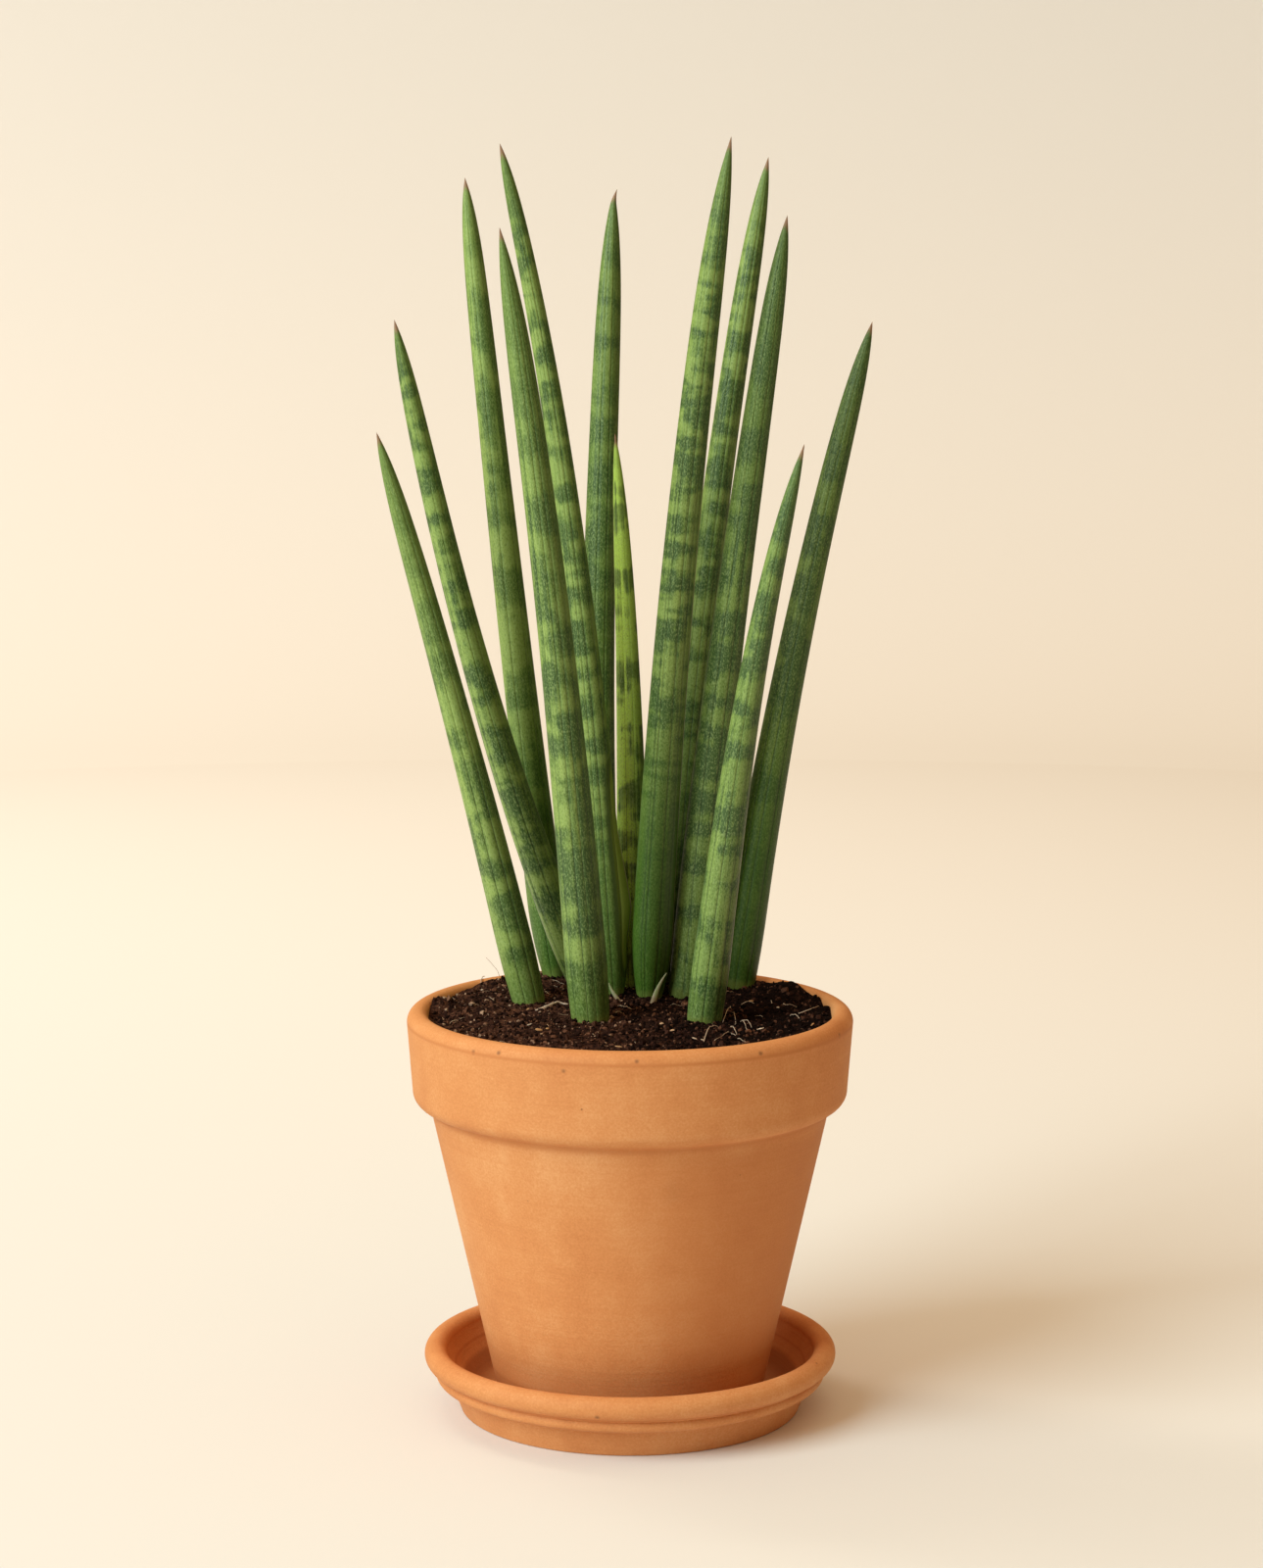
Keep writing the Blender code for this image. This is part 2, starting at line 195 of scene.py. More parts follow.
# Each leaf's first line is foot, tip, bow, sway, girth, blunt, point and waist. Its second line is the skin:
# grooves, bands, band_length, shade, calm_foot and calm_tip.
LEAVES = (
    Leaf((-39.2, 25.0), (-95.0, 6.0, 373.9), 1.6, 0.0, 14.9, 0.47, 15.7, 0.16,
         (-12, 28, 60), 0.75, 10.0, 0.1, 20.0, 150.0),
    Leaf((-17.2, 50.0), (-89.9, 36.0, 415.4), -6.8, -0.7, 14.7, 0.47, 15.2, 0.15,
         (-48, 5, 44), 0.85, 7.0, 0.0, 10.0, 25.0, margin=-78),
    Leaf((-29.8, 62.5), (-64.6, 80.0, 470.0), -0.9, -0.2, 15.3, 0.52, 15.5, 0.37,
         (-14, 45, 66), 0.8, 11.0, 0.25, 10.0, 60.0, low=(0.8, 150.0)),
    Leaf((-15.0, -3.0), (-47.5, -22.0, 449.4), 3.3, -0.3, 16.6, 0.55, 22.6, 0.13,
         (-44, -4, 20, 52), 0.8, 11.0, 0.0, 30.0, 170.0),
    Leaf((-6.8, 40.0), (-49.0, 26.0, 481.3), 7.2, -0.9, 15.2, 0.37, 12.3, 0.40,
         (-38, -14, 8, 50), 0.85, 7.0, 0.05, 110.0, 40.0, sheath=2.8, low=(0.5, 110.0)),
    Leaf((-10.6, 66.0), (-6.3, 84.0, 465.7), -3.7, -0.5, 15.2, 0.65, 21.9, 0.20,
         (-15, 22, 58), 0.5, 9.0, -0.1, 10.0, 40.0, curl=1.3),
    Leaf((1.2, 53.0), (-5.8, 50.0, 371.6), 2.0, -0.1, 14.6, 0.36, 19.2, 0.20,
         (-22, 16, 62), 0.9, 9.0, 0.37, 10.0, 30.0, margin=-80, young_painted_light=1.0),
    Leaf((7.6, 39.5), (38.0, 22.0, 483.7), -4.3, 0.2, 16.6, 0.59, 25.0, 0.40,
         (-34, -22, 17, 46), 0.9, 5.5, -0.1, 130.0, 60.0, margin=78, low=(0.95, 150.0)),
    Leaf((14.4, 60.0), (53.9, 74.0, 477.8), -4.0, 0.1, 15.2, 0.55, 18.0, 0.20,
         (-25, 10, 36), 0.85, 7.0, 0.0, 10.0, 50.0, low=(0.7, 160.0)),
    Leaf((23.1, 43.0), (59.7, 34.0, 454.7), -2.5, -0.2, 16.6, 0.54, 19.5, 0.02,
         (-18, 24, 60), 0.85, 9.0, -0.3, 20.0, 150.0),
    Leaf((28.3, -3.0), (63.7, -30.0, 371.1), -4.2, 0.6, 15.4, 0.42, 19.2, 0.14,
         (-46, -6, 40), 0.9, 8.5, -0.25, 20.0, 50.0, margin=76),
    Leaf((42.2, 53.0), (94.7, 70.0, 414.3), -4.4, 0.0, 16.6, 0.49, 16.6, 0.15,
         (-40, -5, 34), 0.85, 10.0, -0.38, 20.0, 100.0, low=(0.95, 150.0)),
)


@dataclass(frozen=True)
class Scale:
    """A dry, pointed remnant of a basal sheath: its foot (x, y), its lean to the tip, and its width."""

    name: str
    foot: tuple
    lean: tuple
    bow: float
    width: float


SCALES = (
    Scale("basal_scale_left", (-4.6, 31.0), (-3.7, 0.8, 6.6), -0.4, 2.0),
    Scale("basal_scale_right", (9.1, 29.5), (5.2, 1.5, 11.6), -0.8, 2.4),
)
SCALE_RINGS = 14
SCALE_SIDES = 16
SCALE_THICKNESS = 0.7
SCALE_TIP_WIDTH = 0.5
SCALE_DEPTH = 3.0
SCALE_CUP = 0.25

# Litter on the soil. Each fibre is its places (x, y) along the soil and how high it arches.
FIBRES = (
    (((39, 16), (37, 3), (35, -10)), 2.2),
    (((39, 10), (40, 0), (40, -12)), 1.8),
    (((38, -13), (39, -23), (40, -32)), 1.2),
    (((41, -2), (43, -12), (44, -24)), 1.6),
    (((42, 0), (44, -7), (46, -19)), 2.0),
    (((27, -38), (30, -23), (34, -19)), 1.6),
    (((31, -36), (35, -32), (37, -28), (40, -32)), 1.2),
    (((59, 19), (60, 14), (65, 15)), 1.8),
    (((61, 1), (65, -6)), 1.2),
    (((63, 3), (69, 4), (74, 13)), 1.4),
    (((-7, 19), (-2, 12), (1, 9)), 1.4),
    (((-6, 5), (-3, 7)), 0.8),
    (((-59, 50), (-58, 66)), 1.2),
    (((-34, 38), (-31, 33)), 1.0),
    (((-70, 27), (-68, 23)), 0.8),
)
TWIG = ((-36, 8), (-31, 14), (-28, 20), (-24, 20))
HAIR = (
    (-57.2, 60.0, 163.6),
    (-56.2, 60.0, 162.6),
    (-54.5, 60.0, 160.6),
    (-52.4, 60.0, 157.6),
    (-50.6, 60.0, 151.0),
)

# Each bark chip is (x, y, length, width, turn in degrees, tone), with tone 0 for dark bark and 1 for pale.
CHIPS = (
    (-34, -23, 3.4, 2.0, 20, 0.55),
    (-31, -21, 2.2, 1.3, 80, 0.45),
    (-31, -14, 2.6, 1.0, -50, 0.75),
    (-38, -13, 2.2, 0.8, 20, 0.95),
    (-39, 9, 1.8, 1.2, 60, 0.5),
    (-58, 40, 1.2, 1.0, 0, 0.9),
    (-39, -31, 1.2, 0.8, 30, 0.8),
    (-33, -29, 1.1, 0.7, 10, 0.7),
    (-36, -40, 1.0, 0.8, 70, 0.75),
    (-54, -30, 1.3, 0.8, 40, 0.7),
    (-14, -28, 1.5, 1.1, 15, 0.9),
    (-9, -38, 1.1, 0.8, 55, 0.7),
    (-4, -45, 3.2, 1.4, 5, 0.6),
    (12, -9, 1.7, 1.4, 35, 0.75),
    (16, -20, 2.2, 1.4, -10, 0.65),
    (24, -33, 2.2, 0.8, -20, 0.85),
    (27, -34, 1.6, 0.7, 10, 0.85),
    (47, 24, 2.0, 1.4, 0, 0.5),
    (57, 14, 1.2, 1.0, 0, 0.9),
    (69, -13, 2.4, 0.8, 60, 0.5),
    (49, -20, 3.4, 1.1, -25, 0.85),
)

# Marks on the fired clay: each is (x, y, z, radius, strength), positive for pale scuffs and negative for
# burnt ones. The small ones are pinholes, painted dark as shade inside the holes.
SMUDGES = (
    (16.1, -69.0, 101.6, 8.0, -0.18),
    (-45.3, -57.2, 111.5, 3.6, 0.8),
    (-46.3, -52.0, 95.4, 2.8, 0.6),
    (-12.0, -78.0, 18.5, 1.6, -0.9),
    (52.0, -52.8, 117.1, 1.7, -1.0),
    (-57.1, -63.0, 151.7, 1.4, -1.0),
    (-47.8, -70.3, 153.2, 1.4, -1.0),
    (2.5, -84.8, 153.2, 1.3, -0.9),
    (47.6, -70.4, 153.0, 1.5, -0.9),
    (78.1, -33.6, 151.7, 1.6, -0.9),
    (-23.9, -81.6, 148.8, 1.2, -0.8),
    (-27.4, -80.3, 129.2, 1.3, -0.8),
)
PINHOLE_RADIUS = 2.0

# Faint dark lines round the clay: height, half width and strength of each. The one under the lip is where the
# turner's tool ran, the one under the collar is painted shadow, and the low one is painted shade in the
# saucer's groove between its ring and roll.
TOOL_AND_PAINTED_SHADE_LINES = ((151.4, 1.2, 0.8), (117.8, 2.2, 0.6), (16.8, 0.9, 0.7))

# Painted shade low inside the saucer and round the pot's foot: the top of the darker band and the radius that
# it fills
SAUCER_SHADE_HEIGHT = 36.0
SAUCER_SHADE_RADIUS = 65.0

# Painted shade on the right of the pot's wall, where the clay is blended darker away from the light: its
# spread along X, and its bottom and top ends
PAINTED_SHADE_SIDE = (-25.0, 40.0)
PAINTED_SHADE_BOTTOM = (24.0, 34.0)
PAINTED_SHADE_TOP = (110.0, 118.0)

CAMERA_PLACE = (0.000575, -1.35975, 0.43096)
CAMERA_PITCH = 7.927
CAMERA_LENS = 83.4

# Soft lights: each is its place, the place that it points at, and its width and height.
KEY_LIGHT = ((-2.17, -1.64, 1.85), (0.0, 0.0, 0.2), 2.0, 2.0)
BACK_LIGHT = ((-1.2, 1.0, 1.8), (-0.3, 3.0, 0.3), 1.6, 0.9)
SKY_LEVEL = 0.2
SKY_CLIMB = 1.7
BACKDROP_HEIGHT = 2.0
BACKDROP_BEND = 1.3


def inside_radius(rim_radius, wall, z):
    """Radius of the pot's inside at a height between its shoulder and its lip."""
    low = rim_radius - SHOULDER_INSET - wall
    high = rim_radius - LIP_ROUND - INNER_LIP_ROUND
    rise = (z - INNER_SHOULDER_HEIGHT) / (POT_TOP - INNER_LIP_ROUND - INNER_SHOULDER_HEIGHT)
    return low + (high - low) * min(rise, 1.0)


def heap_rise(heaps, x, y):
    """Rise of a set of round heaps and hollows at (x, y)."""
    total = 0.0
    for heap_x, heap_y, rise, spread in heaps:
        total += rise * math.exp(-((x - heap_x) ** 2 + (y - heap_y) ** 2) / (2 * spread**2))
    return total


def soil_height(x, y):
    """Height of the solid's soil at (x, y)."""
    lumps = math.sin(x / 9.0 + 0.6) * math.cos(y / 7.5) + 0.6 * math.sin((x + y) / 5.2)
    return SOIL_LEVEL + SOIL_CLIMB * y + SOIL_LUMP * lumps + heap_rise(SOIL_HEAPS, x, y)


def soil_top(x, y):
    """Height of the loose soil at (x, y), with its small lumps, hollows and grains."""
    height = soil_height(x, y) + heap_rise(SOIL_LUMPS, x, y)
    for size, rise in SOIL_ROUGH:
        height += rise * noise.noise(Vector((x, y, 10.0 * size)) / size)
    return height


# Materials


class Wire:
    """A shader value. Python's operators on it add Math nodes to its tree."""

    def __init__(self, nodes, socket):
        self.nodes = nodes
        self.socket = socket

    def math(self, operation, first, second):
        return self.nodes.node("ShaderNodeMath", {"operation": operation}, {0: first, 1: second})

    def __add__(self, other):
        return self.math("ADD", self, other)

    def __sub__(self, other):
        return self.math("SUBTRACT", self, other)

    def __rsub__(self, other):
        return self.math("SUBTRACT", other, self)

    def __mul__(self, other):
        return self.math("MULTIPLY", self, other)

    __radd__ = __add__
    __rmul__ = __mul__


class Nodes:
    """A node tree being made, with one method that adds any node and a few that add common ones."""

    def __init__(self, tree):
        self.tree = tree

    def feed(self, socket, value):
        """Link a wire to a socket, or set the socket's own value."""
        if isinstance(value, Wire):
            self.tree.links.new(value.socket, socket)
        elif socket.type == "RGBA" and len(value) == 3:
            socket.default_value = (*value, 1.0)
        else:
            socket.default_value = value

    def node(self, kind, settings=None, sockets=None, output=0):
        """Add a node, set it up and feed its sockets. Returns one of its outputs."""
        made = self.tree.nodes.new(kind)
        for name, value in (settings or {}).items():
            if name == "stops":
                self.set_stops(made.color_ramp.elements, value)
            else:
                setattr(made, name, value)
        for name, value in (sockets or {}).items():
            self.feed(made.inputs[name], value)
        return Wire(self, made.outputs[output])

    def set_stops(self, elements, stops):
        """Give a colour ramp its stops, each a position and a colour."""
        while len(elements) < len(stops):
            elements.new(1.0)
        for element, (position, color) in zip(elements, stops):
            element.position = position
            element.color = (*color, 1.0)

    def place(self):
        """Object coordinates, in metres."""
        return self.node("ShaderNodeTexCoord", output="Object")

    def attribute(self, name, output="Fac"):
        """A value that the mesh carries."""
        return self.node("ShaderNodeAttribute", {"attribute_name": name}, output=output)

    def part(self, vector, axis):
        """One coordinate of a vector: X, Y or Z."""
        return self.node("ShaderNodeSeparateXYZ", sockets={0: vector}, output=axis)

    def along(self, place, axis):
        """One coordinate of a place, in millimetres."""
        return self.part(place, axis) * (1.0 / MM)

    def noise(self, place, scale, detail=2.0, rough=0.5):
        """Cloudy noise from 0 to 1. scale is one number or one for each axis, in features a metre."""
        if not isinstance(scale, tuple):
            scale = (scale, scale, scale)
        spread = self.node("ShaderNodeVectorMath", {"operation": "MULTIPLY"}, {0: place, 1: scale})
        sockets = {"Vector": spread, "Scale": 1.0, "Detail": detail, "Roughness": rough}
        return self.node("ShaderNodeTexNoise", sockets=sockets)

    def rise(self, value, low, high):
        """0 up to low, 1 from high on, and a soft step between."""
        sockets = {"Value": value, "From Min": low, "From Max": high}
        return self.node("ShaderNodeMapRange", {"interpolation_type": "SMOOTHSTEP"}, sockets)

    def blend(self, factor, first, second):
        """Mix two colours."""
        settings = {"data_type": "RGBA", "clamp_factor": True}
        return self.node("ShaderNodeMix", settings, {0: factor, 6: first, 7: second}, output=2)

    def coated(self, color, *coats):
        """A colour with coats over it, each its amount and its colour."""
        for amount, coat in coats:
            color = self.blend(amount, color, coat)
        return color

    def ramp(self, value, stops):
        """A colour for each value, through the given stops."""
        return self.node("ShaderNodeValToRGB", {"stops": stops}, {0: value})

    def near(self, place, spot, radius):
        """1 at a spot in millimetres, fading to 0 at its radius."""
        centre = tuple(value * MM for value in spot)
        away = self.node("ShaderNodeVectorMath", {"operation": "DISTANCE"}, {0: place, 1: centre}, "Value")
        return 1.0 - self.rise(away, 0.0, radius * MM)


class Finish(Nodes):
    """A material being made, with its Principled shader."""

    def __init__(self, name, roughness, specular=0.5):
        old = bpy.data.materials.get(name)
        if old:
            bpy.data.materials.remove(old)
        self.material = bpy.data.materials.new(name)
        self.material.use_nodes = True
        super().__init__(self.material.node_tree)
        self.shader = self.tree.nodes["Principled BSDF"]
        self.shader.inputs["Roughness"].default_value = roughness
        self.shader.inputs["Specular IOR Level"].default_value = specular

    def done(self, color, height=None, relief=0.0, roughness=None):
        """Feed the shader's colour, its bump from a height of 0 to 1, and its roughness."""
        self.feed(self.shader.inputs["Base Color"], color)
        if height is not None:
            sockets = {"Height": height, "Distance": relief * MM, "Strength": 1.0}
            self.feed(self.shader.inputs["Normal"], self.node("ShaderNodeBump", sockets=sockets))
        if roughness is not None:
            self.feed(self.shader.inputs["Roughness"], roughness)
        return self.material


def fired_clay(name, clay):
    """Matt orange earthenware: cloudy colour, faint turning lines, fine grain, pinholes and scuffs, with
    painted shade under the collar, in the saucer's groove, round the pot's foot, on the right of the wall and
    in the pinholes.
    """
    look = Finish(name, clay.roughness, specular=0.35)
    place = look.place()
    cloud = look.noise(place, 17.0, 3.0)
    mottle = look.noise(place, 85.0, 4.0, 0.6)
    smear = look.noise(place, (70.0, 70.0, 12.0), 3.0)
    turning = look.noise(place, (4.0, 4.0, 620.0), 3.0, 0.7)
    grain = look.noise(place, 1200.0, 2.0)
    tone = 0.5 * (cloud - 0.5) + 0.35 * (mottle - 0.5) + 0.25 * (smear - 0.5) + 0.15 * (turning - 0.5)
    tone = tone + 0.45 * (grain - 0.5) + 0.5
    color = look.ramp(tone, ((0.22, clay.burnt_and_painted_shade_color), (0.5, clay.clay_color), (0.8, clay.pale_color)))
    for *spot, radius, strength in SMUDGES:
        mark = look.near(place, spot, radius)
        if radius > PINHOLE_RADIUS:
            mark = mark * look.rise(mottle, 0.3, 0.6)
        target = clay.pale_color if strength > 0 else clay.smudge_and_pinhole_shade_color
        color = look.blend(mark * abs(strength), color, target)
    x, y, height = (look.along(place, axis) for axis in "XYZ")
    # The tool line under the lip, and painted shade under the collar and in the saucer's groove.
    for middle, half, strength in TOOL_AND_PAINTED_SHADE_LINES:
        line = look.rise(height, middle - half, middle) - look.rise(height, middle, middle + half)
        color = look.blend(strength * line, color, clay.burnt_and_painted_shade_color)
    # Painted shade in the saucer's hollow round the pot's foot, low down and within the radius.
    outside = look.rise(x * x + y * y, (SAUCER_SHADE_RADIUS - 1.5) ** 2, SAUCER_SHADE_RADIUS**2)
    saucer_painted_shade = (1.0 - look.rise(height, 4.0, SAUCER_SHADE_HEIGHT)) * (1.0 - outside)
    # Painted shade: the right of the pot's wall is blended towards the darker clay.
    painted_shade_right = look.rise(x, *PAINTED_SHADE_SIDE) * look.rise(height, *PAINTED_SHADE_BOTTOM) * (1.0 - look.rise(height, *PAINTED_SHADE_TOP))
    pores = look.node("ShaderNodeTexVoronoi", sockets={"Vector": place, "Scale": 95.0}, output="Distance")
    chance = look.noise(place, 40.0, 0.0)
    # Pinholes are pressed in by the bump and painted dark, painted shade inside each hole.
    pinhole = (1.0 - look.rise(pores, 0.02, 0.055)) * look.rise(chance, 0.56, 0.6)
    color = look.coated(
        color,
        (0.9 * saucer_painted_shade, clay.saucer_painted_shade_color),
        (0.45 * painted_shade_right * (0.5 + cloud), clay.burnt_and_painted_shade_color),
        (0.75 * pinhole, clay.smudge_and_pinhole_shade_color),
    )
    bumps = 0.35 * grain + 0.5 * turning + 0.5 * mottle - 1.2 * pinhole
    return look.done(color, bumps, relief=0.22, roughness=clay.roughness + 0.2 * (mottle - 0.5))


def soil_painted_shade(look, place):
    """Painted shade that darkens the soil towards the right, away from the light."""
    return SOIL_PAINTED_SHADE * look.rise(look.along(place, "X"), *SOIL_SHADE_SIDE)


def potting_soil(soil):
    """Dark, crumbly soil with lighter grains and pale specks, with painted shade in the gaps between clods
    and towards the right, and painted highlight on the clods.
    """
    look = Finish("potting_soil", 0.95, specular=0.05)
    place = look.place()
    clod = look.noise(place, 120.0, 3.0)
    grain = look.noise(place, 800.0, 3.0, 0.7)
    # The tone's spread is partly the soil's own colour and partly painted: shade in the gaps between clods
    # and highlight on them.
    tone = 0.75 * clod + 0.95 * grain - 0.32 - soil_painted_shade(look, place)
    color = look.ramp(tone, ((0.3, soil.dark_color), (0.52, soil.brown_color), (0.8, soil.light_color)))
    speck = look.rise(look.noise(place, 620.0, 1.0), 0.72, 0.78)
    color = look.blend(speck * 0.35, color, soil.speck_color)
    return look.done(color, clod + 1.4 * grain, relief=0.9)


def soil_crumb_finish(soil):
    """Crumbs of the same soil, each of its own tone, with the same painted shade towards the right."""
    look = Finish("soil_crumb", 0.92, specular=0.06)
    place = look.place()
    grain = look.noise(place, 1400.0, 2.0)
    tone = look.attribute("tone") + 0.35 * (grain - 0.5) + 0.1 - soil_painted_shade(look, place)
    stops = (
        (0.0, soil.dark_color),
        (0.4, soil.brown_color),
        (0.85, soil.light_color),
        (1.0, soil.speck_color),
    )
    return look.done(look.ramp(tone, stops), grain, relief=0.3)


def dry_litter(litter):
    """Bark chips and twigs, from brown bark to bleached wood, with fine fibres."""
    look = Finish("dry_litter", 0.85, specular=0.3)
    place = look.place()
    fibre = look.noise(place, (900.0, 300.0, 900.0), 3.0)
    tone = look.attribute("tone") + 0.5 * (fibre - 0.5)
    stops = ((0.1, litter.bark_color), (0.55, litter.tan_color), (0.95, litter.pale_color))
    return look.done(look.ramp(tone, stops), fibre, relief=0.3)


def root_fibre_finish(litter):
    """Thin pale roots, browner in places."""
    look = Finish("root_fibre", 0.7, specular=0.35)
    patch = look.rise(look.noise(look.place(), 160.0, 2.0), 0.25, 0.5)
    return look.done(look.blend(patch, litter.root_brown_color, litter.root_color), patch, relief=0.05)


def dry_scale_finish(leaves):
    """Papery pale green strips with darker fibres along them, brown at the foot."""
    look = Finish("dry_scale", 0.6, specular=0.4)
    place = look.place()
    fibre = look.noise(place, (1500.0, 1500.0, 90.0), 2.0)
    color = look.blend(look.rise(fibre, 0.35, 0.7), leaves.scale_color, leaves.margin_color)
    buried = 1.0 - look.rise(look.along(place, "Z"), SOIL_LEVEL + 0.5, SOIL_LEVEL + 3.0)
    return look.done(look.blend(buried * 0.7, color, leaves.tip_color), fibre, relief=0.15)


def leaf_skin(name, leaf, leaves):
    """Banded, speckled leaf skin with thin dark grooves, a dry point and a ragged foot. Painted shade darkens
    its right side, its low part and the sheath's channel, and painted light brightens the young leaf and the
    sheath's edge.
    """
    look = Finish(name, leaves.roughness, specular=0.4)
    straight = look.attribute("straight", "Vector")
    from_tip, from_soil = (look.along(look.attribute("ends", "Vector"), axis) for axis in "XY")
    wave = look.noise(straight, (45.0, 45.0, 1.0 / (leaf.band_length * MM)), 1.5, 0.5)
    streak = look.noise(straight, (620.0, 620.0, 14.0), 2.0)
    patch = look.noise(straight, (240.0, 240.0, 150.0), 2.0, 0.6)
    grain = look.noise(straight, (1700.0, 1700.0, 1000.0), 2.0, 0.6)
    calm = look.rise(from_soil, 0.0, leaf.calm_foot) * look.rise(from_tip, 0.0, leaf.calm_tip)
    light = look.rise(wave + 0.16 * (patch - 0.5) + 0.28 * (streak - 0.5), 0.38, 0.62)
    band = 0.5 + leaf.bands * calm * (light - 0.5)
    # leaf.shade is partly each leaf's own tone and partly painted: darker for the leaves at the right and
    # behind, lighter for the young leaf.
    tone = band + 0.75 * (streak - 0.5) + 0.3 * (patch - 0.5) + leaf.shade
    # Low on some leaves the skin is a plainer, deeper green: partly its own plain skin, partly painted shade
    # where the leaves shade each other near the soil.
    low, low_height = leaf.low
    plain_low_painted_shade = low * (1.0 - look.rise(from_soil, 0.3 * low_height, low_height))
    # Painted shade: the right side of each leaf, away from the key light, is blended towards a deeper green.
    painted_shade_side = look.rise(look.along(straight, "X"), -0.25 * leaf.girth, 0.5 * leaf.girth)
    membrane = look.attribute("membrane")
    groove = look.attribute("groove")
    groove = groove * groove * look.rise(from_tip, 20.0, 150.0)
    groove = groove * (0.75 - 0.35 * look.rise(from_soil, 30.0, 220.0))
    ragged = 6.0 * (patch - 0.5)
    stops = ((0.05, leaves.deep_color), (0.5, leaves.mid_color), (1.0, leaves.light_color))
    color = look.coated(
        look.ramp(tone, stops),
        # Painted light on the youngest leaf, which its neighbours shade: its paler young skin made brighter.
        (leaf.young_painted_light * look.rise(tone, 0.2, 0.95), leaves.young_painted_light_color),
        (0.85 * plain_low_painted_shade, leaves.low_color),
        (look.rise(grain, 0.46, 0.70) * (0.58 - 0.42 * plain_low_painted_shade), leaves.fleck_color),
        (0.45 * (1.0 - look.rise(grain, 0.32, 0.48)), leaves.dark_color),
        (0.55 * painted_shade_side, leaves.painted_shade_color),
        # Painted shade in the sheath's channel, then its thin clasping edge paler: partly its own pale
        # colour, partly painted light through the edge.
        (0.8 * look.rise(membrane, 0.002, 0.03), leaves.channel_color),
        (look.rise(membrane, 0.06, 0.22), leaves.membrane_and_painted_light_color),
        (0.8 * look.rise(membrane, 0.86, 0.95), leaves.margin_color),
        (groove, leaves.groove_color),
        (0.8 * look.attribute("margin"), leaves.margin_color),
        (0.55 * (1.0 - look.rise(from_soil + ragged, 0.5, 4.0)), leaves.foot_color),
        (1.0 - look.rise(from_tip + ragged, 3.0, 6.5), leaves.tip_color),
    )
    height = 0.5 * streak + 0.35 * grain
    return look.done(color, height, relief=0.16, roughness=leaves.roughness + 0.3 * (patch - 0.5))


def paper_backdrop(stage):
    """Seamless cream paper."""
    look = Finish("paper_backdrop", 0.9, specular=0.1)
    cloud = look.noise(look.place(), 1.2, 2.0)
    color = look.blend(0.25 * cloud, stage.backdrop_color, stage.backdrop_shade)
    return look.done(color)


# Mesh tools


def make_piece(name, mesh_data, surface, sharp=40.0):
    """Turn bmesh data into a smooth shaded object that replaces an older one of its name."""
    bmesh.ops.remove_doubles(mesh_data, verts=mesh_data.verts, dist=1e-6)
    bmesh.ops.recalc_face_normals(mesh_data, faces=mesh_data.faces)
    old = bpy.data.objects.get(name)
    if old:
        bpy.data.objects.remove(old, do_unlink=True)
    mesh = bpy.data.meshes.new(name)
    mesh_data.to_mesh(mesh)
    mesh_data.free()
    mesh.shade_smooth()
    mesh.set_sharp_from_angle(angle=math.radians(sharp))
    mesh.materials.append(surface)
    made = bpy.data.objects.new(name, mesh)
    bpy.context.scene.collection.objects.link(made)
    return made


def dress(piece, slot, *nodes):
    """Let a piece ride on the plant's one body and stand for its CAD nodes. slot is not used."""
    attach(piece, "root")
    if nodes:
        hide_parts(*nodes)


def arc(centre, radius, start, end, count):
    """Points (r, z) on a circular arc, from start to end in degrees."""
    points = []
    for index in range(count + 1):
        angle = math.radians(start + (end - start) * index / count)
        points.append((centre[0] + radius * math.cos(angle), centre[1] + radius * math.sin(angle)))
    return points


def turned(profile, steps, closed=False):
    """Spin a half section of (r, z) points in millimetres about the Z axis."""
    mesh_data = bmesh.new()
    verts = [mesh_data.verts.new((r * MM, 0.0, z * MM)) for r, z in profile]
    edges = [mesh_data.edges.new(pair) for pair in zip(verts, verts[1:])]
    if closed:
        edges.append(mesh_data.edges.new((verts[-1], verts[0])))
    bmesh.ops.spin(
        mesh_data,
        geom=verts + edges,
        cent=(0.0, 0.0, 0.0),
        axis=(0.0, 0.0, 1.0),
        angle=math.tau,
        steps=steps,
        use_merge=True,
    )
    return mesh_data


def hand_turn(mesh_data):
    """Draw the clay in a little, unevenly round the axis, as a hand-turned piece is."""
    for vert in mesh_data.verts:
        angle = math.atan2(vert.co.y, vert.co.x)
        height = vert.co.z / MM
        sway = 0.5 + sum(part * math.sin(waves * angle + height / over) for part, waves, over in SWAYS)
        radius = vert.co.xy.length
        if radius > 0.0:
            vert.co.xy *= 1.0 - WOBBLE * MM * sway / max(radius, POT_FOOT_RADIUS * MM)


def join_rings(mesh_data, rings):
    """Skin rings of vertices, one after the other, into a closed strand."""
    loops = [list(dict.fromkeys(edge for vert in ring for edge in vert.link_edges)) for ring in rings]
    for below, above in zip(loops, loops[1:]):
        bmesh.ops.bridge_loops(mesh_data, edges=below + above)
    bmesh.ops.contextual_create(mesh_data, geom=loops[0])
    bmesh.ops.contextual_create(mesh_data, geom=loops[-1])


def swept(mesh_data, points, radii, sides=6):
    """Add a round, closed strand through the given points. Returns its vertices."""
    rings = []
    for index, (point, radius) in enumerate(zip(points, radii)):
        ahead = points[min(index + 1, len(points) - 1)]
        behind = points[max(index - 1, 0)]
        turn = (ahead - behind).to_track_quat("Z", "Y").to_matrix().to_4x4()
        place = Matrix.Translation(point * MM) @ turn
        made = bmesh.ops.create_circle(mesh_data, segments=sides, radius=radius * MM, matrix=place)
        rings.append(made["verts"])
    join_rings(mesh_data, rings)
    return [vert for ring in rings for vert in ring]


